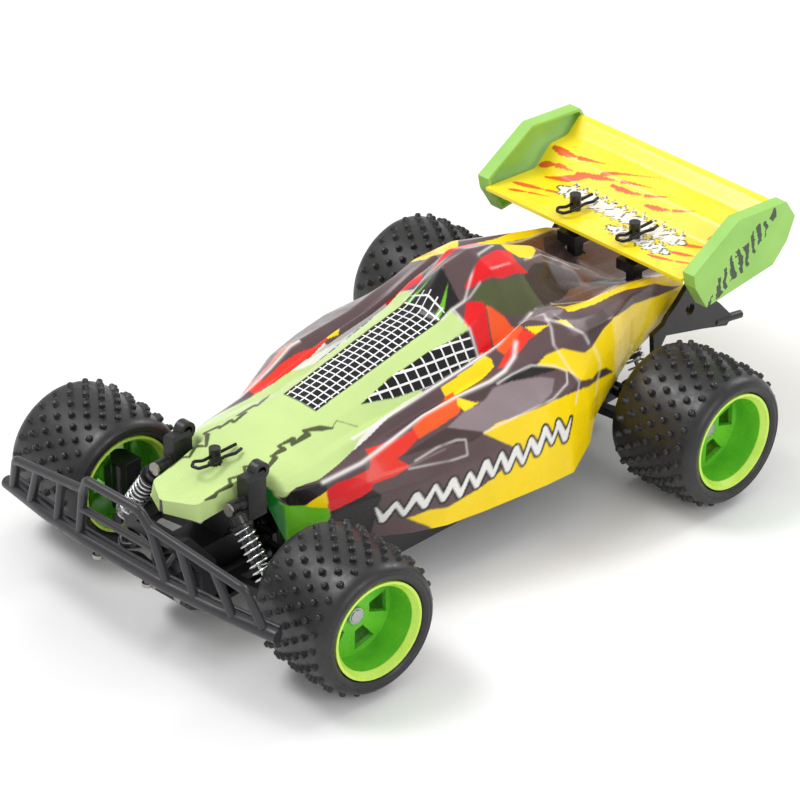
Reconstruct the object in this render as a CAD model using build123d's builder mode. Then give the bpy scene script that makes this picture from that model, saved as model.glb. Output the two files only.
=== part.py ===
from build123d import *
import math
import os

os.makedirs("parts", exist_ok=True)

# ---------------------------------------------------------------- driving dimensions (mm)
FA = -133.05            # y of the front axle; forward is -Y, left is +X
WB = 243.0              # wheelbase
AZ = 38.7               # axle height = tyre radius over the knobs
TYRE_R = 38.7
CARCASS_R = 35.6
RIM_R = 26.3
RIM_W = 53.9
LIP_F = 119.4           # outer lip plane of a front wheel
LIP_R = 122.5           # outer lip plane of a rear wheel
HUB_IN = 37.4           # hub tube inner end, inboard of the lip
HUB_FACE = 19.5         # hub face, inboard of the lip
AXLE_R = 2.5
BORE_R = 2.56
PIN_R = 1.5
PIN_HOLE_R = 1.56
STEER = -5.2            # stored steering angle of the front wheels, degrees about +Z
KING_X = 72.0           # kingpin
ARM_Z = 27.0            # height of both arm hinges
ARM_IN_F, ARM_OUT_F = 16.0, 60.0
ARM_IN_R, ARM_OUT_R = 20.0, 62.0
SHOCK_L = 52.0
SHOCK_TOP_F = (26.9, -13.0, 71.4)
SHOCK_LOW_F = (57.0, -13.0, 29.0)
SHOCK_TOP_R = (26.2, 256.0, 74.15)
SHOCK_LOW_R = (52.0, 256.0, 29.0)
STEER_ARM = 15.0        # kingpin to tie-rod stud
TIE_Z = 34.0
TIE_IN = 13.0           # inner tie-rod pivot from the middle of the drag link
WING_X = 21.3           # wing post
WING_Y = 275.0
SKIN = 1.2              # body shell wall


def P(x, y, z):
    return (x, y + FA, z)


def tube(points, r, bend=1.6):
    pts = [Vector(*P(*p)) for p in points]
    with BuildLine() as path:
        last = pts[0]
        for a, b, c in zip(pts, pts[1:], pts[2:]):
            u, v = (a - b).normalized(), (c - b).normalized()
            half = math.radians(u.get_angle(v)) / 2
            cut = min(max(bend * r / math.tan(half), r * 0.8), 0.45 * min((a - b).length, (c - b).length))
            w = (u + v).normalized()
            big = cut * math.tan(half)
            mid = b + w * (big / math.sin(half) - big)
            Line(last, b + u * cut)
            ThreePointArc(b + u * cut, mid, b + v * cut)
            last = b + v * cut
        Line(last, pts[-1])
    with BuildSketch(Plane(origin=pts[0], z_dir=pts[1] - pts[0])) as sk:
        Circle(r)
    sweep(sk.sketch, path=path.wires()[0])


def rod(p, q, r, mode=Mode.ADD):
    a, b = Vector(*P(*p)), Vector(*P(*q))
    with BuildSketch(Plane(origin=a, z_dir=b - a)) as sk:
        Circle(r)
    extrude(sk.sketch, amount=(b - a).length, mode=mode)


def block(x0, x1, y0, y1, z0, z1, mode=Mode.ADD):
    with Locations(P((x0 + x1) / 2, (y0 + y1) / 2, (z0 + z1) / 2)):
        Box(abs(x1 - x0), abs(y1 - y0), abs(z1 - z0), mode=mode)


def flip(points):
    return [(-x, y, z) for x, y, z in points]


def save(item, name):
    item.part.label = name
    export_step(item.part, "parts/" + name + ".step")


# ---------------------------------------------------------------- chassis tub
FLOOR = [(-14, -32), (-20, -26), (-20, 22), (-46, 64), (-50, 76), (-50, 186), (-46, 196), (-23, 216), (-23, 268),
         (23, 268), (23, 216), (46, 196), (50, 186), (50, 76), (46, 64), (20, 22), (20, -26), (14, -32)]
with BuildPart() as chassis_tub:
    with BuildSketch(Plane.XY.offset(15)):
        with BuildLine():
            Polyline(*[(x, y + FA) for x, y in FLOOR], close=True)
        make_face()
    extrude(amount=2.5)
    for s in (1, -1):
        with BuildSketch(Plane.XY.offset(15)):
            with BuildLine():
                Polyline(*[(s * x, y + FA) for x, y in [(44, 60.8), (48, 75.5), (48, 186.5), (44, 196), (46, 196), (50, 186), (50, 76), (46, 64)]], close=True)
            make_face()
        extrude(amount=14)
    block(-43.9, -7, 70, 72, 17.5, 26)       # battery bay walls
    block(-43.9, -7, 166, 168, 17.5, 26)
    block(-7, -5, 70, 168, 17.5, 24)
    with Locations(*[P(x, y, 16) for x, y in ((30, 74), (30, 178), (0, 60), (0, 185))]):
        Hole(radius=1.6)
save(chassis_tub, "chassis_tub")

# ---------------------------------------------------------------- front bulkhead with the brace behind the bumper
with BuildPart() as front_bulkhead:
    block(-11, 11, -20, 14, 17.5, 44)
    for y0, y1 in ((-18.4, -15.4), (15.4, 18.4)):
        for s in (1, -1):
            block(s * 9, s * 16, y0, y1, 22.5, 30.4)
            rod((s * 16, y0, ARM_Z), (s * 16, y1, ARM_Z), 3.4)
    block(-9, 9, 13, 18.4, 17.5, 29.5)
    block(-15, 15, -28, -19, 17.5, 34)
    for s in (1, -1):
        with BuildSketch(Plane.YZ.offset(s * 15.5)):
            with BuildLine():
                Polyline((-28 + FA, 20), (-18 + FA, 20), (-18 + FA, 40), (-34 + FA, 60), (-44 + FA, 60), (-44 + FA, 54), (-36 + FA, 48), (-28 + FA, 36), close=True)
            make_face()
        extrude(amount=s * 3)
        tube([(s * 17, -41, 55), (s * 17, -48, 50), (s * 13, -50.5, 49), (s * 8, -48, 50), (s * 8, -30, 44), (s * 8, -19, 40)], 1.7)
    block(-18.5, 18.5, -44, -36, 55.5, 60)
    block(-15.5, 15.5, -28, -17, 30, 36)
    block(-12, 12, -42.2, -37.8, 57.5, 61, mode=Mode.SUBTRACT)
    for s in (1, -1):
        rod((s * 16, -19, ARM_Z), (s * 16, 19, ARM_Z), PIN_R, mode=Mode.SUBTRACT)
    for s in (1, -1):
        rod((s * 9, -31, 21), (s * 9, -18, 21), 1.5, mode=Mode.SUBTRACT)
save(front_bulkhead, "front_bulkhead")

# ---------------------------------------------------------------- tubular front bumper
BAR = [(-98.7, -51.1, 48.1), (-60, -58.5, 50.3), (-28, -62, 51.6), (28, -62, 51.6), (60, -58.5, 50.3), (98.7, -51.1, 48.1)]
with BuildPart() as front_bumper:
    tube(BAR, 3.6)
    tube([(x * 0.97, y + 4.4, z + 1.2) for x, y, z in BAR], 1.7)
    tube([(-31.5, -61.5, 53), (-24.5, -64, 81), (-19, -66, 90.3), (19, -66, 90.3), (24.5, -64, 81), (31.5, -61.5, 53)], 2.5)
    tube([(-27, -63.4, 70), (27, -63.4, 70)], 2.1)
    for s in (1, -1):
        tube([(s * 24.5, -64, 82), (s * 83, -57.5, 70.5), (s * 91, -53.5, 51)], 2.4)
        rod((s * 43, -62, 78.2), (s * 50, -60, 52), 2.4)
        rod((s * 64, -59.5, 74.2), (s * 73.5, -57, 51), 2.4)
        tube([(s * 9, -60, 50), (s * 9, -44, 41), (s * 9, -34, 28)], 2.8)
        block(s * 5, s * 13, -34, -28, 18, 32)
        rod((s * 9, -35, 21), (s * 9, -27, 21), 1.6, mode=Mode.SUBTRACT)
        rod((s * 18, -62, 46), (s * 18, -62, 49.2), 1.6, mode=Mode.SUBTRACT)
save(front_bumper, "front_bumper")

# ---------------------------------------------------------------- front shock tower
with BuildPart() as front_shock_tower:
    with BuildSketch(Plane.XZ.offset(-(FA + 5.5))):
        with BuildLine():
            Polyline((-10, 44), (10, 44), (16, 52), (30.8, 62), (30.8, 84), (29.3, 86), (24, 86), (22.8, 84),
                     (22.8, 65), (12, 60), (-12, 60), (-22.8, 65), (-22.8, 84), (-24, 86), (-29.3, 86),
                     (-30.8, 84), (-30.8, 62), (-16, 52), close=True)
        make_face()
    extrude(amount=12)
    block(-7, 7, -5, 4, 55, 62)
    rod((0, 0, 60), (0, 0, 88.5), 3.0)
    for s in (1, -1):
        rod((s * 26.9, -6, 71.4), (s * 26.9, -10.7, 71.4), 3.5)
        rod((s * 26.9, -12, 71.4), (s * 26.9, -4, 71.4), PIN_R, mode=Mode.SUBTRACT)
        with BuildSketch(Plane.YZ.offset(s * 24)):
            with Locations((FA + 4, 85.5)):
                Circle(5.0)
                Circle(2.8, mode=Mode.SUBTRACT)
        extrude(amount=s * 5.5)
    rod((0, -4, 84.4), (0, 4, 84.4), 0.95, mode=Mode.SUBTRACT)
save(front_shock_tower, "front_shock_tower")

# ---------------------------------------------------------------- gearbox case and rear parts
GX, GY, GZ = 12.0, WB, AZ
MOTOR_Y, MOTOR_Z = WB - 20.3, AZ + 4.54
with BuildPart() as gearbox_case:
    block(-12, 12, 206, 263, 17.5, 60)
    block(-10, 10, 208, 261, 20.2, 58, mode=Mode.SUBTRACT)
    for y0, y1 in ((224.6, 227.6), (258.4, 261.4)):
        for s in (1, -1):
            block(s * 11, s * 20, y0, y1, 22.5, 30.4)
            rod((s * 20, y0, ARM_Z), (s * 20, y1, ARM_Z), 3.4)
            rod((s * 20, y0 - 1, ARM_Z), (s * 20, y1 + 1, ARM_Z), PIN_R, mode=Mode.SUBTRACT)
    rod((-15, WB, AZ), (15, WB, AZ), 5.08, mode=Mode.SUBTRACT)
    rod((-15, MOTOR_Y, MOTOR_Z), (-9, MOTOR_Y, MOTOR_Z), 3.2, mode=Mode.SUBTRACT)
    for z in (52, 57):
        for s in (1, -1):
            rod((s * 7, 255, z), (s * 7, 264, z), 1.2, mode=Mode.SUBTRACT)
save(gearbox_case, "gearbox_case")

with BuildPart() as rear_shock_tower:
    with BuildSketch(Plane.XZ.offset(-(FA + 267.2))):
        with BuildLine():
            Polyline((-10, 44), (10, 44), (16, 56), (30.4, 68), (30.4, 78.5), (22.4, 78.5), (20, 70), (10, 64),
                     (-10, 64), (-20, 70), (-22.4, 78.5), (-30.4, 78.5), (-30.4, 68), (-16, 56), close=True)
        make_face()
    extrude(amount=4)
    for s in (1, -1):
        rod((s * 26.2, 264, 74.15), (s * 26.2, 258.3, 74.15), 3.6)
        rod((s * 26.2, 268, 74.15), (s * 26.2, 257, 74.15), PIN_R, mode=Mode.SUBTRACT)
    for z in (52, 57):
        for s in (1, -1):
            rod((s * 7, 262, z), (s * 7, 268, z), 1.2, mode=Mode.SUBTRACT)
save(rear_shock_tower, "rear_shock_tower")

with BuildPart() as rear_guard:
    for s in (1, -1):
        with BuildSketch(Plane.YZ.offset(s * 45.2)):
            with BuildLine():
                Polyline(*[(y + FA, z) for y, z in [(266, 60.5), (300, 51.5), (318, 46), (322.5, 50), (312, 62), (299, 74), (288, 83), (281, 76), (272, 69)]], close=True)
            make_face()
            with BuildLine():
                Polyline(*[(y + FA, z) for y, z in [(262.5, 47), (261.5, 63), (270, 66), (272, 60)]], close=True)
            make_face()
            with Locations((289 + FA, 67.5)):
                Circle(3.4, mode=Mode.SUBTRACT)
        extrude(amount=s * 3)
        rod((s * 46.7, 310, 51), (s * 46.7, 330, 47.5), 2.2)
    tube([(-46.7, 308, 53), (-22, 314, 48), (22, 314, 48), (46.7, 308, 53)], 3.0)
    block(-8, 8, 263.6, 269, 26, 42)
    for s in (1, -1):
        tube([(s * 5, 266, 34), (s * 5, 290, 40), (s * 13, 314, 48)], 2.4)
save(rear_guard, "rear_guard")

with BuildPart() as drive_motor:
    rod((-12.2, MOTOR_Y, MOTOR_Z), (-44, MOTOR_Y, MOTOR_Z), 12.2)
    with BuildSketch(Plane.YZ.offset(-44)):
        with Locations((MOTOR_Y + FA, MOTOR_Z)):
            Circle(4.0)
    extrude(amount=-2)
    with Locations((-20, MOTOR_Y + FA, MOTOR_Z), (-38, MOTOR_Y + FA, MOTOR_Z)):
        Cylinder(radius=12.6, height=2, rotation=(0, 90, 0))
    rod((-8, MOTOR_Y, MOTOR_Z), (-46, MOTOR_Y, MOTOR_Z), 1.0, mode=Mode.SUBTRACT)
save(drive_motor, "drive_motor")


def gear(teeth, module, width, phase, back):
    """Trapezoid-tooth gear on the YZ plane, cut thin for backlash."""
    rp = teeth * module / 2
    ro, ri = rp + module * 0.85, rp - module * 1.2
    pitch = 2 * math.pi / teeth
    pts = []
    for i in range(teeth):
        a = i * pitch + phase
        for f, r in ((-0.27, ri), (-0.13, ro), (0.13, ro), (0.27, ri)):
            pts.append((r * math.cos(a + f * pitch * back), r * math.sin(a + f * pitch * back)))
    with BuildSketch(Plane.YZ) as sk:
        with BuildLine():
            Polyline(*pts, close=True)
        make_face()
    extrude(sk.sketch, amount=width)


T_MOTOR, T_DIFF, MODULE = 10, 42, 0.8
CENTRE_ANGLE = math.atan2(MOTOR_Z - AZ, MOTOR_Y - WB)   # from the axle to the motor, in the YZ plane
with BuildPart() as pinion_m:
    gear(T_MOTOR, MODULE, 6, CENTRE_ANGLE + math.pi + math.pi / T_MOTOR, 0.9)
with BuildPart() as motor_pinion:
    add(pinion_m.part.moved(Location((-8, MOTOR_Y + FA, MOTOR_Z))))
    rod((-30, MOTOR_Y, MOTOR_Z), (-2, MOTOR_Y, MOTOR_Z), 0.94)
save(motor_pinion, "motor_pinion")

with BuildPart() as diff_m:
    gear(T_DIFF, MODULE, 6, CENTRE_ANGLE, 0.9)
with BuildPart() as diff_gear:
    add(diff_m.part.moved(Location((-8, WB + FA, AZ))))
    rod((-22, WB, AZ), (22, WB, AZ), 5.0)
    rod((-2, WB, AZ), (7, WB, AZ), 11.0)
    for s in (1, -1):
        rod((s * 15.5, WB, AZ), (s * 23, WB, AZ), 3.6, mode=Mode.SUBTRACT)
save(diff_gear, "diff_gear")

# ---------------------------------------------------------------- electrics on the tub
with BuildPart() as battery_pack:
    for i in range(6):
        rod((-42, 80 + 15.0 * i, 25.6), (-9, 80 + 15.0 * i, 25.6), 7.9)
    block(-41, -10, 80, 155, 19.5, 31)
save(battery_pack, "battery_pack")

with BuildPart() as electronics_box:
    block(8, 42, 88, 150, 17.5, 36)
    fillet(electronics_box.edges().filter_by(Axis.Z), 2)
    block(20, 30, 92, 104, 33, 37, mode=Mode.SUBTRACT)
    for i in range(5):
        block(12 + 6 * i, 14.5 + 6 * i, 112, 146, 36, 42)
save(electronics_box, "electronics_box")

with BuildPart() as power_switch:
    block(20.4, 29.6, 94.8, 99.2, 33.3, 35.6)
    block(23, 27, 95.4, 98.6, 35.4, 39)
save(power_switch, "power_switch")

with BuildPart() as steering_servo:
    block(-11, 11, 30, 54, 17.5, 40)
    fillet(steering_servo.edges().filter_by(Axis.Z), 1.5)
    block(-16, 16, 36, 48, 33, 35.5)
    rod((0, 30.5, 34), (0, 26, 34), 4)
    rod((0, 26, 34), (0, 24.6, 34), 2.4)
save(steering_servo, "steering_servo")

DRAG = STEER_ARM * math.sin(math.radians(-STEER))        # stored shift of the drag link
with BuildPart() as drag_link:
    block(DRAG - 16.5, DRAG + 16.5, 20.2, 23.2, 31, 37)
    for s in (1, -1):
        rod((DRAG + s * TIE_IN, 20.5, TIE_Z), (DRAG + s * TIE_IN, 16.2, TIE_Z), 1.2)
    block(DRAG - 5, DRAG + 5, 20, 24, 33, 38, mode=Mode.SUBTRACT)
save(drag_link, "drag_link")

# ---------------------------------------------------------------- hinge pins and screws
with BuildPart() as hinge_pins:
    for s in (1, -1):
        rod((s * ARM_IN_F, -18.9, ARM_Z), (s * ARM_IN_F, 18.9, ARM_Z), PIN_R)
        rod((s * ARM_IN_R, 224.1, ARM_Z), (s * ARM_IN_R, 261.9, ARM_Z), PIN_R)
save(hinge_pins, "hinge_pins")

with BuildPart() as frame_screws:
    for s in (1, -1):
        rod((s * 26.9, -16.6, 71.4), (s * 26.9, -15.3, 71.4), 3.4)       # shock screws
        rod((s * 26.9, -15.5, 71.4), (s * 26.9, -4.2, 71.4), PIN_R)
        rod((s * 26.2, 253.7, 74.15), (s * 26.2, 252.4, 74.15), 3.4)
        rod((s * 26.2, 253.4, 74.15), (s * 26.2, 267.6, 74.15), PIN_R)
        rod((s * 9, -36, 21), (s * 9, -34.2, 21), 2.4)                   # bumper screws
        rod((s * 9, -34.4, 21), (s * 9, -19, 21), 1.45)
        rod((s * 18, -62, 45.2), (s * 18, -62, 47.2), 2.8)
        rod((s * 18, -62, 47), (s * 18, -62, 49), 1.55)
        for z in (52, 57):
            rod((s * 7, 267.3, z), (s * 7, 268.6, z), 2.1)
            rod((s * 7, 267.5, z), (s * 7, 261.5, z), 1.15)
save(frame_screws, "frame_screws")

# ---------------------------------------------------------------- wheels
LIP = [(0, 26.3), (-2.4, 26.3), (-3.2, 24.4), (-50.7, 24.4), (-51.5, 26.3), (-53.9, 26.3), (-53.9, 24.9), (-50, 22.6), (-3, 22.6), (0, 24.9)]
with BuildPart() as rim_m:
    with BuildSketch(Plane.XY):
        with BuildLine():
            Polyline(*LIP, close=True)
        make_face()
    revolve(axis=Axis.X)
    with BuildSketch(Plane.YZ.offset(-HUB_FACE)):
        Circle(22.9)
        with PolarLocations(0, 5):
            Polygon((9.5, -2.6), (19.8, -6.2), (19.8, 6.2), (9.5, 2.6), align=None, mode=Mode.SUBTRACT)
    extrude(amount=-3)
    with BuildSketch(Plane.YZ.offset(-HUB_FACE)):
        Circle(6.2)
    extrude(amount=-(HUB_IN - HUB_FACE))
    with BuildSketch(Plane.YZ.offset(-HUB_FACE - 2.5)):
        with PolarLocations(14, 5, start_angle=36):
            Rectangle(17.6, 1.5)
    extrude(amount=-7)
    with BuildSketch(Plane.YZ.offset(-HUB_FACE + 1)):
        Circle(BORE_R)
    extrude(amount=-(HUB_IN - HUB_FACE + 2), mode=Mode.SUBTRACT)

TYRE = [(-3.4, 24.5), (-2.55, 26.5), (-0.3, 26.9), (1.2, 29.4), (1.2, 32), (-0.8, 34.4), (-4, 35.6), (-49.9, 35.6), (-53.1, 34.4), (-55.1, 32),
        (-55.1, 29.4), (-53.6, 26.9), (-51.35, 26.5), (-50.5, 24.5), (-47.5, 24.5), (-48.6, 31.2), (-47, 33.2), (-6.9, 33.2), (-5.3, 31.2), (-6.4, 24.5)]
ROWS, PER_ROW = 5, 18
with BuildPart() as tyre_m:
    with BuildSketch(Plane.XY):
        with BuildLine():
            Polyline(*TYRE, close=True)
        make_face()
    revolve(axis=Axis.X)
    lugs = []
    for i in range(ROWS):
        for k in range(PER_ROW):
            a = 360 / PER_ROW * (k + 0.5 * (i % 2))
            lugs.append(Location((-27 + (i - 2) * 10.2, 0, 0)) * Location((0, 0, 0), (a, 0, 0)) * Location((0, 0, 36.7)))
    with Locations(*lugs):
        Cylinder(radius=2.3, height=4.0)


def front_loc(s):
    return Location((s * KING_X, FA, AZ)) * Location((0, 0, 0), (0, 0, STEER)) * Location((s * (LIP_F - KING_X), 0, 0))


def rear_loc(s):
    return Location((s * LIP_R, FA + WB, AZ))


for s, f, r in ((1, "rim_fl", "rim_rl"), (-1, "rim_fr", "rim_rr")):
    for name, loc in ((f, front_loc(s)), (r, rear_loc(s))):
        with BuildPart() as rim:
            add((rim_m.part if s > 0 else rim_m.part.mirror(Plane.YZ)).moved(loc))
        save(rim, name)
for s, f, r in ((1, "tyre_fl", "tyre_rl"), (-1, "tyre_fr", "tyre_rr")):
    for name, loc in ((f, front_loc(s)), (r, rear_loc(s))):
        with BuildPart() as tyre:
            add((tyre_m.part if s > 0 else tyre_m.part.mirror(Plane.YZ)).moved(loc))
        save(tyre, name)

# front stub axle: outer lip plane at x = 0
with BuildPart() as axle_fm:
    for x0, x1, r in ((-47.4, -17.0, AXLE_R), (-39.2, -37.8, 4.0), (-19.1, -17.2, 4.4), (-17.2, -16.6, 3.4)):
        with BuildSketch(Plane.YZ.offset(x0)):
            Circle(r)
        extrude(amount=x1 - x0)
with BuildPart() as axle_rm:
    for x0, x1, r in ((-74.5, -17.0, AXLE_R), (-76.5, -68.9, 5.0), (-44.1, -37.8, 4.0), (-19.1, -17.2, 4.4), (-17.2, -16.6, 3.4)):
        with BuildSketch(Plane.YZ.offset(x0)):
            Circle(r)
        extrude(amount=x1 - x0)
    with BuildSketch(Plane.YZ.offset(-76.6)):
        Circle(3.75)
    extrude(amount=6.0, mode=Mode.SUBTRACT)
for s, f, r in ((1, "axle_fl", "axle_rl"), (-1, "axle_fr", "axle_rr")):
    for name, m, loc in ((f, axle_fm, front_loc(s)), (r, axle_rm, rear_loc(s))):
        with BuildPart() as axle:
            add((m.part if s > 0 else m.part.mirror(Plane.YZ)).moved(loc))
        save(axle, name)


# ---------------------------------------------------------------- suspension arms (left, then mirrored)
def arm(x_in, x_out, y_mid, shock, y_side):
    half = 15.0
    with BuildSketch(Plane.XY.offset(ARM_Z - 2.3)) as sk:
        with BuildLine():
            Polyline((x_in, y_mid - 13 + FA), (x_out - 3, y_mid - 9 + FA), (x_out, y_mid - 9 + FA), (x_out, y_mid + 9 + FA),
                     (x_out - 3, y_mid + 9 + FA), (x_in, y_mid + 13 + FA), close=True)
        make_face()
        with BuildLine():
            Polyline((x_in + 9, y_mid - 8 + FA), (x_out - 13, y_mid - 4.5 + FA), (x_out - 13, y_mid + 4.5 + FA), (x_in + 9, y_mid + 8 + FA), close=True)
        make_face(mode=Mode.SUBTRACT)
    extrude(sk.sketch, amount=4.6)
    rod((x_in, y_mid - half, ARM_Z), (x_in, y_mid + half, ARM_Z), 3.3)
    rod((x_out, y_mid - 9, ARM_Z), (x_out, y_mid + 9, ARM_Z), 3.2)
    block(x_out - 4.4, x_out + 5, y_mid - 6, y_mid + 6, ARM_Z - 5, ARM_Z + 5, mode=Mode.SUBTRACT)
    rod((x_in, y_mid - half - 1, ARM_Z), (x_in, y_mid + half + 1, ARM_Z), PIN_HOLE_R, mode=Mode.SUBTRACT)
    rod((x_out, y_mid - 10, ARM_Z), (x_out, y_mid + 10, ARM_Z), PIN_HOLE_R, mode=Mode.SUBTRACT)
    sx, sy, sz = shock
    block(sx - 3, min(sx + 3, x_out - 2.2), y_mid + y_side * 7, y_mid + y_side * 9, ARM_Z - 2, sz + 2)
    rod((sx, y_mid + y_side * 8, sz), (sx, sy + y_side * 2.6, sz), 1.5)
    rod((sx, sy + y_side * 2.5, sz), (sx, sy + y_side * 3.6, sz), 3.3)


with BuildPart() as arm_fl:
    arm(ARM_IN_F, ARM_OUT_F, 0, SHOCK_LOW_F, -1)
save(arm_fl, "arm_fl")
with BuildPart() as arm_fr:
    mirror(arm_fl.part, about=Plane.YZ)
save(arm_fr, "arm_fr")
with BuildPart() as arm_rl:
    arm(ARM_IN_R, ARM_OUT_R, WB, SHOCK_LOW_R, 1)
save(arm_rl, "arm_rl")
with BuildPart() as arm_rr:
    mirror(arm_rl.part, about=Plane.YZ)
save(arm_rr, "arm_rr")

# ---------------------------------------------------------------- front carrier, knuckle and tie rod
with BuildPart() as carrier_fl:
    rod((ARM_OUT_F, -5.6, ARM_Z), (ARM_OUT_F, 5.6, ARM_Z), 3.2)
    rod((ARM_OUT_F, -8.8, ARM_Z), (ARM_OUT_F, 8.8, ARM_Z), PIN_R)
    block(60, 65.5, -5, 5, 24, 53.8)
    block(60, 61.5, -6, 6, 31, 60, mode=Mode.SUBTRACT)
    block(63.5, KING_X, -5, 5, 50, 53.8)
    rod((KING_X, 0, 50), (KING_X, 0, 53.8), 5)
    block(63.5, KING_X, -5, 5, 23.6, 27.4)
    rod((KING_X, 0, 23.6), (KING_X, 0, 27.4), 5)
    rod((KING_X, 0, 46.5), (KING_X, 0, 50.5), 1.8)
    rod((KING_X, 0, 27), (KING_X, 0, 31), 1.8)
save(carrier_fl, "carrier_fl")
with BuildPart() as carrier_fr:
    mirror(carrier_fl.part, about=Plane.YZ)
save(carrier_fr, "carrier_fr")

with BuildPart() as knuckle_m:
    with Locations((0, 0, 38.7)):
        Cylinder(radius=5.0, height=21.6)
    with Locations((4.2, 0, 38.7)):
        Box(7.6, 9.0, 11.0)
    with Locations((0, 8.5, 30.6)):
        Box(5.4, 13.0, 2.6)
    with Locations((0, STEER_ARM, 30.6)):
        Cylinder(radius=2.7, height=2.6)
    with Locations((0, STEER_ARM, 34)):
        Cylinder(radius=1.3, height=5.0)
    with Locations((0, 0, 48.2), (0, 0, 29.0)):
        Cylinder(radius=1.86, height=4.6, mode=Mode.SUBTRACT)
    with BuildSketch(Plane.YZ.offset(-1)):
        with Locations((0, AZ)):
            Circle(AXLE_R)
    extrude(amount=12, mode=Mode.SUBTRACT)
for s, name in ((1, "knuckle_fl"), (-1, "knuckle_fr")):
    with BuildPart() as knuckle:
        add((knuckle_m.part if s > 0 else knuckle_m.part.mirror(Plane.YZ)).moved(Location((s * KING_X, FA, 0)) * Location((0, 0, 0), (0, 0, STEER))))
    save(knuckle, name)

STUD_Y = STEER_ARM * math.cos(math.radians(STEER))
TIE_L = KING_X + DRAG - (DRAG + TIE_IN)
for s, name in ((1, "tie_rod_l"), (-1, "tie_rod_r")):
    xi, xo = s * TIE_IN + DRAG, s * KING_X + DRAG
    with BuildPart() as tie:
        rod((xi, 17.0, TIE_Z), (xi, 19.8, TIE_Z), 2.8)
        rod((xo, STUD_Y, 32.4), (xo, STUD_Y, 35.6), 4.0)
        rod((xi + s * 2, 18.3, TIE_Z), (xo - s * 3.2, STUD_Y, TIE_Z), 1.4)
        rod((xi, 16, TIE_Z), (xi, 21, TIE_Z), 1.26, mode=Mode.SUBTRACT)
        rod((xo, STUD_Y, 31), (xo, STUD_Y, 37), 2.3, mode=Mode.SUBTRACT)
    save(tie, name)

# ---------------------------------------------------------------- rear upright and dogbone
with BuildPart() as upright_rl:
    rod((ARM_OUT_R, WB - 5.6, ARM_Z), (ARM_OUT_R, WB + 5.6, ARM_Z), 3.2)
    rod((ARM_OUT_R, WB - 8.8, ARM_Z), (ARM_OUT_R, WB + 8.8, ARM_Z), PIN_R)
    block(62, 67, WB - 5, WB + 5, 24, 44)
    rod((54.2, WB, AZ), (78.0, WB, AZ), 7.0)
    block(60, 66, WB - 3, WB + 3, 44, 52)
    rod((50, WB, AZ), (80, WB, AZ), BORE_R, mode=Mode.SUBTRACT)
save(upright_rl, "upright_rl")
with BuildPart() as upright_rr:
    mirror(upright_rl.part, about=Plane.YZ)
save(upright_rr, "upright_rr")

with BuildPart() as dogbone_l:
    rod((19, WB, AZ), (50, WB, AZ), 1.5)
    rod((17.3, WB, AZ), (20.7, WB, AZ), 2.7)
    rod((48.8, WB, AZ), (51.2, WB, AZ), 2.7)
    for x in (19, 50):
        rod((x, WB - 3, AZ), (x, WB + 3, AZ), 0.7, mode=Mode.SUBTRACT)      # drive pin holes
save(dogbone_l, "dogbone_l")
with BuildPart() as dogbone_r:
    mirror(dogbone_l.part, about=Plane.YZ)
save(dogbone_r, "dogbone_r")

# ---------------------------------------------------------------- coil-over shocks, hung from the top eye at the origin
with BuildPart() as shock_body_m:
    Cylinder(radius=3.6, height=4.0, rotation=(90, 0, 0))
    with Locations((0, 0, -16.2)):
        Cylinder(radius=3.9, height=24.6)
    with Locations((0, 0, -3.6)):
        Box(4.4, 4.0, 3.0)
    with Locations((0, 0, -6.4)):
        Cylinder(radius=4.8, height=4.4)
    with Locations((0, 0, -9.6)):
        Cylinder(radius=6.2, height=1.6)
    Cylinder(radius=PIN_HOLE_R, height=6.0, rotation=(90, 0, 0), mode=Mode.SUBTRACT)
    with Locations((0, 0, -17.6)):
        Cylinder(radius=2.9, height=18.6, mode=Mode.SUBTRACT)
    with Locations((0, 0, -28)):
        Cylinder(radius=1.28, height=4, mode=Mode.SUBTRACT)
with BuildPart() as shock_rod_m:
    with Locations((0, 0, -SHOCK_L)):
        Cylinder(radius=3.6, height=4.0, rotation=(90, 0, 0))
    with Locations((0, 0, -32.5)):
        Cylinder(radius=1.2, height=33)
    with Locations((0, 0, -17)):
        Cylinder(radius=2.6, height=2)
    with Locations((0, 0, -44.6)):
        Cylinder(radius=6.0, height=1.6)
    with Locations((0, 0, -46.8)):
        Cylinder(radius=2.4, height=4)
    with Locations((0, 0, -SHOCK_L)):
        Cylinder(radius=2.1, height=6.0, rotation=(90, 0, 0), mode=Mode.SUBTRACT)
S_TOP, S_LOW, TURNS, WIRE_R, COIL_R = -11.1, -43.1, 9, 0.6, 5.0
with BuildPart() as spring_m:
    with BuildLine() as coil:
        Helix(pitch=(S_TOP - S_LOW) / TURNS, height=S_TOP - S_LOW, radius=COIL_R, center=(0, 0, S_LOW))
    with BuildSketch(Plane(origin=coil.line @ 0, z_dir=coil.line % 0)):
        Circle(WIRE_R)
    sweep(path=coil.line, is_frenet=True)

for tag, top, low, s in (("fl", SHOCK_TOP_F, SHOCK_LOW_F, 1), ("fr", SHOCK_TOP_F, SHOCK_LOW_F, -1), ("rl", SHOCK_TOP_R, SHOCK_LOW_R, 1), ("rr", SHOCK_TOP_R, SHOCK_LOW_R, -1)):
    lean = math.degrees(math.atan2(low[0] - top[0], top[2] - low[2]))
    loc = Location((s * top[0], top[1] + FA, top[2]), (0, -s * lean, 0))
    for kind, master in (("shock_body_", shock_body_m), ("shock_rod_", shock_rod_m), ("spring_", spring_m)):
        with BuildPart() as item:
            add(master.part.moved(loc))
        save(item, kind + tag)

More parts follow.
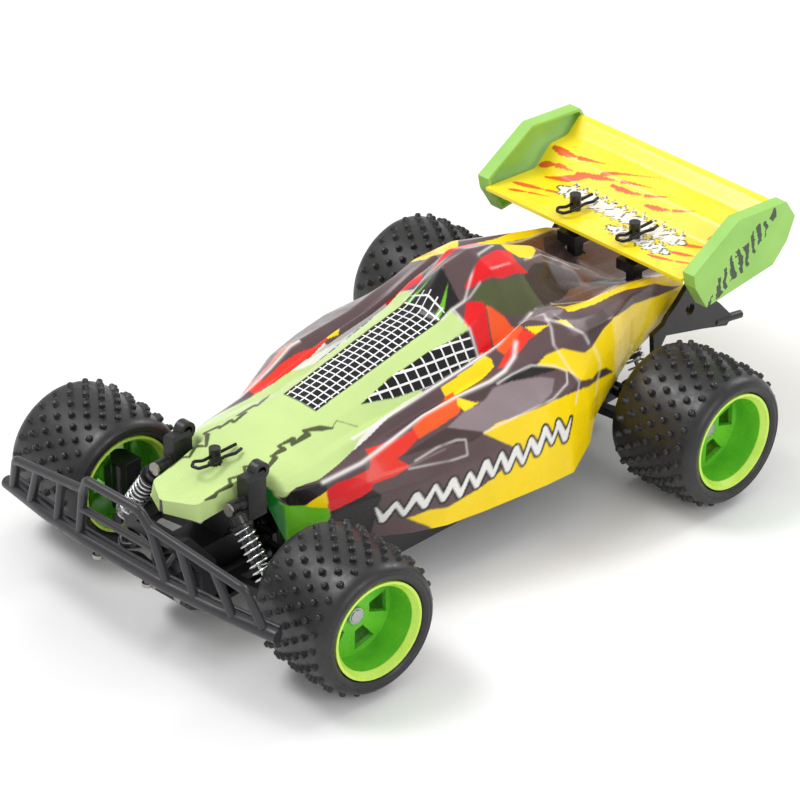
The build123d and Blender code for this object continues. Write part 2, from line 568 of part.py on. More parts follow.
# ---------------------------------------------------------------- body shell: ruled loft through half sections, x then z
SECTIONS = [
    (-36, [(0, 74.6), (0.9, 74.5), (1.0, 73.2), (1.1, 72), (1.15, 71), (1.2, 70), (1.25, 69.4), (1.3, 68.8), (1.35, 68), (1.4, 67.3)]),
    (-27, [(0, 75.2), (16, 74.4), (16.5, 73), (17, 71.5), (17.3, 70.5), (17.5, 69.5), (17.8, 68.5), (18, 67.5), (18.2, 66.5), (18.4, 65.5)]),
    (9, [(0, 82), (19, 80.5), (20, 78), (20.3, 76), (20.5, 75), (20.7, 74), (21, 73), (21.2, 72), (21.4, 71), (21.5, 70)]),
    (12, [(0, 82.5), (20, 81.5), (26, 80), (29, 79), (32, 77), (34, 75), (36, 72.5), (37, 62), (38, 52), (38, 43)]),
    (32, [(0, 86), (17, 85), (24, 82.5), (30, 79.5), (34, 77.5), (38, 75), (42, 72), (45, 62), (46, 55), (43, 46)]),
    (57, [(0, 90.5), (12, 89.8), (20, 86), (28, 81), (33, 80), (38, 76), (44.5, 74), (50, 66), (54, 58), (46, 31)]),
    (78, [(0, 94.8), (12.7, 94), (21, 89), (28.5, 81.5), (34.5, 84.5), (39, 79), (46, 80.5), (58, 70), (63, 60), (58, 30)]),
    (95, [(0, 98.3), (13.3, 97.3), (22, 92), (29.5, 83), (36, 87.5), (41, 82), (48, 87), (64, 74), (68, 62), (65, 30)]),
    (117, [(0, 103), (14, 101.8), (23, 96.5), (31, 85.5), (37, 91), (43, 85), (48.5, 88.3), (68, 76), (72, 63), (69, 30)]),
    (140, [(0, 107.3), (14.7, 106), (24, 101), (32, 88), (37.5, 94), (44, 87), (50, 88.6), (71, 77), (74, 64), (72, 30)]),
    (157, [(0, 128), (16, 112), (25, 108), (33, 92), (38, 97), (45, 92), (52, 91), (72, 76), (75, 64), (74, 30)]),
    (175, [(0, 130), (15, 124), (25, 112), (33, 98), (39, 102), (46, 97), (54, 93), (70, 75), (74, 62), (75, 30)]),
    (192, [(0, 126), (14, 121), (23, 110), (31, 100), (41, 104), (49, 100), (58, 94), (67, 76), (70, 60), (70, 38)]),
    (204, [(0, 121), (12.5, 116), (21, 106), (29, 97), (42, 100), (50, 98), (58, 94), (63, 77), (64.4, 62), (62.6, 46)]),
    (220, [(0, 114), (11, 109), (18, 100), (26, 93), (40, 97), (50, 97), (58, 94), (60, 78), (60, 62), (57, 52)]),
    (247, [(0, 94), (6, 90), (12, 86), (20, 86), (32, 92), (42, 94), (46.5, 92), (48, 80), (48, 66), (46, 56)]),
    (271, [(0, 78), (6, 78), (14, 79), (24, 82), (32, 88), (38, 90), (41, 88), (42, 78), (42, 68), (41, 60)]),
    (296, [(0, 76), (6, 76), (14, 77), (22, 78), (28, 80), (33, 80), (36, 79), (37, 74), (37, 69), (36, 64)]),
]


def ring(half):
    """Open ring of a section: left bottom edge, over the top, to the right bottom edge."""
    return [(x, z) for x, z in half[:0:-1]] + [(half[0][0], half[0][1])] + [(-x, z) for x, z in half[1:]]


def inset(half, d):
    pts = ring(half)
    n = len(pts)
    out = []
    for i in range(n):
        normals = []
        for a, b in ((i - 1, i), (i, i + 1)):
            if a < 0 or b >= n:
                continue
            dx, dz = pts[b][0] - pts[a][0], pts[b][1] - pts[a][1]
            m = math.hypot(dx, dz)
            normals.append((dz / m, -dx / m))
        nx, nz = sum(v[0] for v in normals) / len(normals), sum(v[1] for v in normals) / len(normals)
        m = math.hypot(nx, nz)
        k = -d / max(m, 0.6) / m
        out.append((pts[i][0] + nx * k, pts[i][1] + nz * k))
    return out


OUT, INN = [], []
for i, (y, half) in enumerate(SECTIONS):
    OUT.append([P(x, y, z) for x, z in ring(half)])
    if i == 0:
        INN.append([P(x * 0.5, -33.4, z - 1.2 * (1 - j / 9.0)) for j, (x, z) in enumerate(half)][:0:-1]
                   + [P(0, -33.4, half[0][1] - 1.2)]
                   + [P(-x * 0.5, -33.4, z - 1.2 * (1 - (j + 1) / 9.0)) for j, (x, z) in enumerate(half[1:])])
        continue
    yi = {9: 10.3, 12: 13.3}.get(y, y - 1.4 if i == len(SECTIONS) - 1 else y)
    INN.append([P(x, yi, z) for x, z in inset(half, SKIN)])


def tri(a, b, c):
    return Face(Wire.make_polygon([Vector(*a), Vector(*b), Vector(*c)], close=True))


skins = []
for grid, turn in ((OUT, False), (INN, True)):
    for r0, r1 in zip(grid, grid[1:]):
        for j in range(len(r0) - 1):
            a, b, c, e = r0[j], r0[j + 1], r1[j + 1], r1[j]
            skins += [tri(a, b, c), tri(a, c, e)]
    for r in (grid[0], grid[-1]):
        skins.append(Face(Wire.make_polygon([Vector(*p) for p in r], close=True)))
for k in range(len(OUT) - 1):
    for j in (0, -1):
        skins += [tri(OUT[k][j], OUT[k + 1][j], INN[k + 1][j]), tri(OUT[k][j], INN[k + 1][j], INN[k][j])]
for k in (0, -1):
    skins += [tri(OUT[k][0], OUT[k][-1], INN[k][-1]), tri(OUT[k][0], INN[k][-1], INN[k][0])]

with BuildPart() as body_shell:
    add(Solid(Shell(skins)))
    with Locations(P(0, 0, 80)):
        Cylinder(radius=3.6, height=20, mode=Mode.SUBTRACT)
    for s in (1, -1):
        block(s * 17.3, s * 25.3, 271, 279, 60, 100, mode=Mode.SUBTRACT)
save(body_shell, "body_shell")

# ---------------------------------------------------------------- wing
WING = [(257.6, 106.8), (295.0, 104.0), (305.5, 114.5), (319.2, 114.8), (327.9, 123.0), (331.4, 122.4)]
LOWER = [(y - 0.2, z - 2.0) for y, z in WING]
LOWER[2] = (306.3, 112.5)
LOWER[1] = (295.8, 102.0)
LOWER[3] = (320.0, 112.8)
LOWER[4] = (328.2, 120.9)
LOWER[5] = (331.2, 120.3)
LOWER[0] = (257.6, 104.9)
with BuildPart() as wing_plane:
    with BuildSketch(Plane.YZ.offset(-69.8)):
        with BuildLine():
            Polyline(*[(y + FA, z) for y, z in WING + LOWER[::-1]], close=True)
        make_face()
    extrude(amount=139.6)
    with BuildSketch(Plane.YZ.offset(-75.6)):
        with BuildLine():
            Polyline(*[(y + FA, z) for y, z in [(266.0, 106.1), (294.8, 104.0), (305.3, 114.5), (319.0, 114.8), (325.5, 121.0), (325.8, 118.6), (320.0, 112.8), (306.3, 112.5), (295.8, 102.0), (266.0, 104.2)]], close=True)
        make_face()
    extrude(amount=151.2)
    for s in (1, -1):
        with Locations(P(s * WING_X, WING_Y, 105)):
            Cylinder(radius=3.3, height=12, mode=Mode.SUBTRACT)
save(wing_plane, "wing_plane")

PLATE = [(292.8, 130.0), (328.9, 126.8), (335.7, 116.1), (330.0, 103.9), (319.5, 93.6), (269.2, 88.6), (260.7, 102.8), (259.2, 110.7)]
with BuildPart() as wing_endplates:
    for s in (1, -1):
        with BuildSketch(Plane.YZ.offset(s * 69.8)):
            with BuildLine():
                Polyline(*[(y + FA, z) for y, z in PLATE], close=True)
            make_face()
        extrude(amount=s * 7.7)
        with BuildSketch(Plane.YZ.offset(s * 69.7)):
            with BuildLine():
                Polyline(*[(y + FA, z) for y, z in PLATE], close=True)
            make_face()
            offset(amount=-1.6, mode=Mode.REPLACE)
        extrude(amount=s * 6.0, mode=Mode.SUBTRACT)
save(wing_endplates, "wing_endplates")

with BuildPart() as wing_mounts:
    for s in (1, -1):
        block(s * 18.3, s * 24.3, 267.3, 278, 62, 69)
        block(s * 18.3, s * 24.3, 272, 278, 62, 103.0)
        block(s * 15, s * 27.6, 268, 282, 87.6, 93.5)
        rod((s * WING_X, WING_Y, 102), (s * WING_X, WING_Y, 114.6), 3.0)
        rod((s * WING_X, WING_Y - 4, 109.6), (s * WING_X, WING_Y + 4, 109.6), 0.95, mode=Mode.SUBTRACT)
save(wing_mounts, "wing_mounts")

# ---------------------------------------------------------------- R-clips through the posts
CLIP = [(0, 14), (0, -8), (-2.6, -11.6), (0, -15.2), (4.0, -14.2), (5.2, -9.6), (4.9, -3), (4.7, 3), (6.2, 8), (5.0, 13)]
with BuildPart() as r_clips:
    tube([(x, y, 84.4) for x, y in CLIP], 0.85)
    for s in (1, -1):
        tube([(s * WING_X + x, WING_Y + y * 0.9, 109.6) for x, y in CLIP], 0.85)
save(r_clips, "r_clips")
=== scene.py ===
import math

import bmesh
import bpy
import numpy as np
from mathutils import Matrix, Vector


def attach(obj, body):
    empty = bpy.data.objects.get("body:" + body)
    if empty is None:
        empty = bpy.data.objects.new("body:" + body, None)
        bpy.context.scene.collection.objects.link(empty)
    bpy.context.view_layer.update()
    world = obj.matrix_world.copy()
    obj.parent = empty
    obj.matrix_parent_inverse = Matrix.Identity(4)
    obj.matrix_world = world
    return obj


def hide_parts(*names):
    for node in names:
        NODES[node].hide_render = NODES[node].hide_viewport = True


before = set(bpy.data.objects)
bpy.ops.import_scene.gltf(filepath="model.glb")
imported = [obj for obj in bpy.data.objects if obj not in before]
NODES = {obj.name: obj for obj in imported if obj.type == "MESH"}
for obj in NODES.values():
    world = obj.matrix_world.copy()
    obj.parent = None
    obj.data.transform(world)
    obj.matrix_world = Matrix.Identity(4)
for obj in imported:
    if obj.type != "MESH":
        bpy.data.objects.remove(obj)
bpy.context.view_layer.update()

FA = -133.05     # y of the front axle in the frame, mm
WB = 243.0
AZ = 38.7


# ------------------------------------------------------------------ materials
def lin(rgb):
    out = []
    for c in rgb:
        c = c / 255.0
        out.append(c / 12.92 if c <= 0.04045 else ((c + 0.055) / 1.055) ** 2.4)
    return tuple(out) + (1.0,)


class Nodes:
    def __init__(self, name):
        self.mat = bpy.data.materials.new(name)
        self.mat.use_nodes = True
        self.tree = self.mat.node_tree
        self.bsdf = self.tree.nodes["Principled BSDF"]
        self.coord = self.tree.nodes.new("ShaderNodeTexCoord")
        self.obj = self.coord.outputs["Object"]

    def new(self, kind, **values):
        n = self.tree.nodes.new(kind)
        for k, v in values.items():
            setattr(n, k, v)
        return n

    def link(self, a, b):
        self.tree.links.new(a, b)

    def noise(self, scale, detail=3.0, rough=0.55, vector=None):
        n = self.new("ShaderNodeTexNoise")
        n.inputs["Scale"].default_value = scale
        n.inputs["Detail"].default_value = detail
        n.inputs["Roughness"].default_value = rough
        self.link(vector or self.obj, n.inputs["Vector"])
        return n.outputs["Fac"]

    def ramp(self, fac, stops):
        r = self.new("ShaderNodeValToRGB")
        el = r.color_ramp.elements
        el[0].position, el[0].color = stops[0][0], stops[0][1]
        el[1].position, el[1].color = stops[-1][0], stops[-1][1]
        for p, c in stops[1:-1]:
            e = el.new(p)
            e.color = c
        self.link(fac, r.inputs["Fac"])
        return r.outputs["Color"]

    def range(self, fac, lo, hi, a=0.3, b=0.7):
        r = self.new("ShaderNodeMapRange")
        r.inputs["From Min"].default_value = a
        r.inputs["From Max"].default_value = b
        r.inputs["To Min"].default_value = lo
        r.inputs["To Max"].default_value = hi
        self.link(fac, r.inputs["Value"])
        return r.outputs["Result"]

    def math(self, op, a, b=None, clamp=False):
        m = self.new("ShaderNodeMath", operation=op, use_clamp=clamp)
        for i, v in enumerate((a, b)):
            if v is None:
                continue
            if isinstance(v, (int, float)):
                m.inputs[i].default_value = v
            else:
                self.link(v, m.inputs[i])
        return m.outputs[0]

    def mix(self, fac, a, b, mode="MIX"):
        m = self.new("ShaderNodeMix", data_type="RGBA", blend_type=mode)
        for i, v in ((0, fac), (6, a), (7, b)):
            if isinstance(v, (int, float)):
                m.inputs[i].default_value = v
            elif isinstance(v, tuple):
                m.inputs[i].default_value = v
            else:
                self.link(v, m.inputs[i])
        return m.outputs[2]

    def bump(self, height, strength=0.2, distance=0.0002, soft=None):
        b = self.new("ShaderNodeBump")
        b.inputs["Strength"].default_value = strength
        b.inputs["Distance"].default_value = distance
        self.link(height, b.inputs["Height"])
        if soft:
            bev = self.new("ShaderNodeBevel", samples=4)
            bev.inputs["Radius"].default_value = soft
            self.link(bev.outputs["Normal"], b.inputs["Normal"])
        self.link(b.outputs["Normal"], self.bsdf.inputs["Normal"])

    def separate(self, vector=None):
        s = self.new("ShaderNodeSeparateXYZ")
        self.link(vector or self.obj, s.inputs[0])
        return s.outputs


def plastic(name, rgb, rough=0.4, vary=0.06, grain=1400, bump=0.25, soft=0.0004, coat=0.0, dust=None, spec=0.5):
    """Moulded plastic: faint flow shading, fine texture, dust or scuffs where dust is given."""
    k = Nodes(name)
    c = lin(rgb)
    lo = tuple(v * (1 - vary) for v in c[:3]) + (1,)
    hi = tuple(min(1, v * (1 + vary)) for v in c[:3]) + (1,)
    big = k.noise(28, 4)
    col = k.ramp(big, [(0.3, lo), (0.7, hi)])
    if dust:
        fine = k.noise(420, 5, 0.7)
        col = k.mix(k.range(fine, 0, 0.55, 0.56, 0.78), col, lin(dust))
    k.link(col, k.bsdf.inputs["Base Color"])
    k.link(k.range(k.noise(160, 4), rough - 0.07, rough + 0.07), k.bsdf.inputs["Roughness"])
    k.bsdf.inputs["Specular IOR Level"].default_value = spec
    if coat:
        k.bsdf.inputs["Coat Weight"].default_value = coat
        k.bsdf.inputs["Coat Roughness"].default_value = 0.12
    k.bump(k.noise(grain, 2), bump, 0.00006, soft)
    return k.mat


def metal(name, rgb, rough=0.2, brushed=0.0, vary=0.1, axis=0):
    k = Nodes(name)
    c = lin(rgb)
    lo = tuple(v * (1 - vary) for v in c[:3]) + (1,)
    vec = k.obj
    if brushed:
        m = k.new("ShaderNodeMapping")
        sc = [2200, 2200, 2200]
        sc[axis] = 60
        m.inputs["Scale"].default_value = sc
        k.link(k.obj, m.inputs["Vector"])
        vec = m.outputs[0]
        n = k.noise(1.0, 3, 0.6, vec)
    else:
        n = k.noise(300, 4)
    k.link(k.ramp(n, [(0.3, lo), (0.7, c)]), k.bsdf.inputs["Base Color"])
    k.bsdf.inputs["Metallic"].default_value = 1.0
    k.link(k.range(n, rough * 0.7, rough * 1.4), k.bsdf.inputs["Roughness"])
    k.bump(n, 0.15 + brushed, 0.00003, 0.0002)
    return k.mat


BLACK = plastic("black_moulded", (31, 30, 33), 0.34, 0.18, 1500, 0.3, 0.0005)
BUMPER = plastic("bumper_nylon", (42, 40, 44), 0.36, 0.16, 1100, 0.45, 0.0004)
ARM = plastic("arm_nylon", (30, 29, 32), 0.45, 0.2, 900, 0.4, 0.0004)
SHOCK_BLACK = plastic("shock_black", (26, 26, 28), 0.28, 0.2, 1800, 0.15, 0.0003)
STEEL = metal("turned_steel", (190, 190, 192), 0.24, 0.2)
SCREW = metal("screw_zinc", (165, 160, 155), 0.32, 0.3)
CHROME = metal("spring_chrome", (235, 236, 238), 0.12, 0.0, 0.06)
CLIP = metal("clip_black_steel", (52, 50, 52), 0.3, 0.1)
CAN = metal("motor_can", (150, 152, 156), 0.3, 0.4, 0.12, 1)
WRAP = plastic("cell_wrap", (30, 62, 150), 0.3, 0.12, 500, 0.1, 0.0003, 0.4)
NYLON = plastic("gear_nylon", (214, 210, 200), 0.5, 0.05, 800, 0.2, 0.0003)
LIME = None


def give(node, mat):
    o = NODES[node]
    if not o.data.materials:
        o.data.materials.append(mat)
    for i in range(len(o.data.materials)):
        o.data.materials[i] = mat


TAGS = ("fl", "fr", "rl", "rr")
for n in NODES:
    if n.startswith("arm_"):
        give(n, ARM)
    elif n.startswith("spring_"):
        give(n, CHROME)
    elif n.startswith(("shock_rod", "axle_")) or n == "hinge_pins":
        give(n, STEEL)
    elif n.startswith("dogbone"):
        give(n, SCREW)
    elif n.startswith("shock_body"):
        give(n, SHOCK_BLACK)
    elif n == "frame_screws":
        give(n, SCREW)
    elif n == "front_bumper":
        give(n, BUMPER)
    elif n == "r_clips":
        give(n, CLIP)
    elif n == "drive_motor":
        give(n, CAN)
    elif n == "battery_pack":
        give(n, WRAP)
    elif n in ("diff_gear", "motor_pinion"):
        give(n, NYLON)
    else:
        give(n, BLACK)


# ------------------------------------------------------------------ mesh helpers
def make(name, verts, faces, mats, body, smooth=40, index=None):
    me = bpy.data.meshes.new(name)
    me.from_pydata([tuple(v) for v in verts], [], [tuple(f) for f in faces])
    for m in mats:
        me.materials.append(m)
    if index is not None:
        me.polygons.foreach_set("material_index", np.asarray(index, dtype=np.int32))
    me.update()
    bm = bmesh.new()
    bm.from_mesh(me)
    bmesh.ops.recalc_face_normals(bm, faces=bm.faces)
    bm.to_mesh(me)
    bm.free()
    o = bpy.data.objects.new(name, me)
    bpy.context.scene.collection.objects.link(o)
    me.polygons.foreach_set("use_smooth", [True] * len(me.polygons))
    if smooth:
        me.set_sharp_from_angle(angle=math.radians(smooth))
    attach(o, body)
    return o


class Build:
    """Collects closed pieces of mesh, in millimetres, each with a material index."""

    def __init__(self):
        self.v, self.f, self.m = [], [], []
        self.n = 0

    def add(self, v, f, m=0):
        v = np.asarray(v, float)
        self.v.append(v)
        self.f += [tuple(i + self.n for i in face) for face in f]
        self.m += [m] * len(f)
        self.n += len(v)

    def revolve(self, profile, n=64, m=0, close=True, place=None):
        """profile of (x, r) about X; closed ring of points unless both ends lie on the axis."""
        p = np.array(profile, float)
        a = np.linspace(0, 2 * math.pi, n, endpoint=False)
        v = np.stack([np.repeat(p[None, :, 0], n, 0), np.cos(a)[:, None] * p[None, :, 1], np.sin(a)[:, None] * p[None, :, 1]], -1)
        k = len(p)
        v = v.reshape(-1, 3)
        f = []
        for i in range(n):
            j = (i + 1) % n
            for q in range(k if close else k - 1):
                w = (q + 1) % k
                f.append((i * k + q, i * k + w, j * k + w, j * k + q))
        if not close:
            v = np.vstack([v, [[p[0, 0], 0, 0], [p[-1, 0], 0, 0]]])
            c0, c1 = n * k, n * k + 1
            for i in range(n):
                j = (i + 1) % n
                f.append((c0, i * k, j * k))
                f.append((c1, j * k + k - 1, i * k + k - 1))
        if place is not None:
            v = v @ place[:3, :3].T + place[:3, 3]
        self.add(v, f, m)

    def tube(self, pts, r, n=12, m=0, closed=False):
        """Round tube through points with parallel transport."""
        p = np.asarray(pts, float)
        t = np.gradient(p, axis=0)
        t /= np.linalg.norm(t, axis=1)[:, None]
        up = np.array([0, 0, 1.0]) if abs(t[0][2]) < 0.9 else np.array([1.0, 0, 0])
        u = np.cross(t[0], up)
        u /= np.linalg.norm(u)
        rings = []
        rr = np.broadcast_to(np.asarray(r, float), (len(p),))
        a = np.linspace(0, 2 * math.pi, n, endpoint=False)
        for i in range(len(p)):
            u = u - t[i] * (u @ t[i])
            u /= np.linalg.norm(u)
            w = np.cross(t[i], u)
            rings.append(p[i] + rr[i] * (np.cos(a)[:, None] * u + np.sin(a)[:, None] * w))
        v = np.vstack(rings)
        f = []
        k = len(p)
        for i in range(k - 1):
            for j in range(n):
                q = (j + 1) % n
                f.append((i * n + j, i * n + q, (i + 1) * n + q, (i + 1) * n + j))
        v = np.vstack([v, p[:1], p[-1:]])
        for j in range(n):
            q = (j + 1) % n
            f.append((k * n, q, j))
            f.append((k * n + 1, (k - 1) * n + j, (k - 1) * n + q))
        self.add(v, f, m)

    def make(self, name, mats, body, slot, smooth=40):
        return make(name, np.vstack(self.v) * 0.001, self.f, mats, body, smooth, self.m)


def curve(points, step=1.5):
    """Catmull-Rom through the points."""
    p = np.asarray(points, float)
    q = np.vstack([2 * p[0] - p[1], p, 2 * p[-1] - p[-2]])
    out = []
    for i in range(1, len(q) - 2):
        n = max(2, int(np.linalg.norm(q[i + 1] - q[i]) / step))
        for t in np.linspace(0, 1, n, endpoint=False):
            a, b, c, d = q[i - 1], q[i], q[i + 1], q[i + 2]
            out.append(0.5 * ((2 * b) + (c - a) * t + (2 * a - 5 * b + 4 * c - d) * t * t + (3 * b - a - 3 * c + d) * t ** 3))
    out.append(p[-1])
    return np.array(out)


# ------------------------------------------------------------------ painted body shell
SECTIONS = [
    (-36, [(0, 74.6), (0.9, 74.5), (1.0, 73.2), (1.1, 72), (1.15, 71), (1.2, 70), (1.25, 69.4), (1.3, 68.8), (1.35, 68), (1.4, 67.3)]),
    (-27, [(0, 75.2), (16, 74.4), (16.5, 73), (17, 71.5), (17.3, 70.5), (17.5, 69.5), (17.8, 68.5), (18, 67.5), (18.2, 66.5), (18.4, 65.5)]),
    (9, [(0, 82), (19, 80.5), (20, 78), (20.3, 76), (20.5, 75), (20.7, 74), (21, 73), (21.2, 72), (21.4, 71), (21.5, 70)]),
    (12, [(0, 82.5), (20, 81.5), (26, 80), (29, 79), (32, 77), (34, 75), (36, 72.5), (37, 62), (38, 52), (38, 43)]),
    (32, [(0, 86), (17, 85), (24, 82.5), (30, 79.5), (34, 77.5), (38, 75), (42, 72), (45, 62), (46, 55), (43, 46)]),
    (57, [(0, 90.5), (12, 89.8), (20, 86), (28, 81), (33, 80), (38, 76), (44.5, 74), (50, 66), (54, 58), (46, 31)]),
    (78, [(0, 94.8), (12.7, 94), (21, 89), (28.5, 81.5), (34.5, 84.5), (39, 79), (46, 80.5), (58, 70), (63, 60), (58, 30)]),
    (95, [(0, 98.3), (13.3, 97.3), (22, 92), (29.5, 83), (36, 87.5), (41, 82), (48, 87), (64, 74), (68, 62), (65, 30)]),
    (117, [(0, 103), (14, 101.8), (23, 96.5), (31, 85.5), (37, 91), (43, 85), (48.5, 88.3), (68, 76), (72, 63), (69, 30)]),
    (140, [(0, 107.3), (14.7, 106), (24, 101), (32, 88), (37.5, 94), (44, 87), (50, 88.6), (71, 77), (74, 64), (72, 30)]),
    (157, [(0, 128), (16, 112), (25, 108), (33, 92), (38, 97), (45, 92), (52, 91), (72, 76), (75, 64), (74, 30)]),
    (175, [(0, 130), (15, 124), (25, 112), (33, 98), (39, 102), (46, 97), (54, 93), (70, 75), (74, 62), (75, 30)]),
    (192, [(0, 126), (14, 121), (23, 110), (31, 100), (41, 104), (49, 100), (58, 94), (67, 76), (70, 60), (70, 38)]),
    (204, [(0, 121), (12.5, 116), (21, 106), (29, 97), (42, 100), (50, 98), (58, 94), (63, 77), (64.4, 62), (62.6, 46)]),
    (220, [(0, 114), (11, 109), (18, 100), (26, 93), (40, 97), (50, 97), (58, 94), (60, 78), (60, 62), (57, 52)]),
    (247, [(0, 94), (6, 90), (12, 86), (20, 86), (32, 92), (42, 94), (46.5, 92), (48, 80), (48, 66), (46, 56)]),
    (271, [(0, 78), (6, 78), (14, 79), (24, 82), (32, 88), (38, 90), (41, 88), (42, 78), (42, 68), (41, 60)]),
    (296, [(0, 76), (6, 76), (14, 77), (22, 78), (28, 80), (33, 80), (36, 79), (37, 74), (37, 69), (36, 64)]),
]
ST_Y = np.array([s[0] for s in SECTIONS], float)
ST_P = np.array([s[1] for s in SECTIONS], float)          # station, s index, (x, z)

# colours of the livery
LGREEN, GREEN, GREEN_SHADED, WHITE, GREY = (192, 216, 140), (110, 190, 40), (30, 130, 45), (236, 236, 232), (196, 192, 188)
TAUPE, LTAUPE, DTAUPE, DARK = (92, 72, 74), (136, 121, 124), (70, 53, 52), (30, 24, 26)
RED, ORANGE, REDOR, YELLOW, BROWN, OLIVE = (222, 18, 26), (236, 90, 30), (230, 52, 36), (250, 216, 8), (112, 74, 56), (78, 84, 50)
BLK, TAIL = (12, 11, 13), (52, 36, 31)

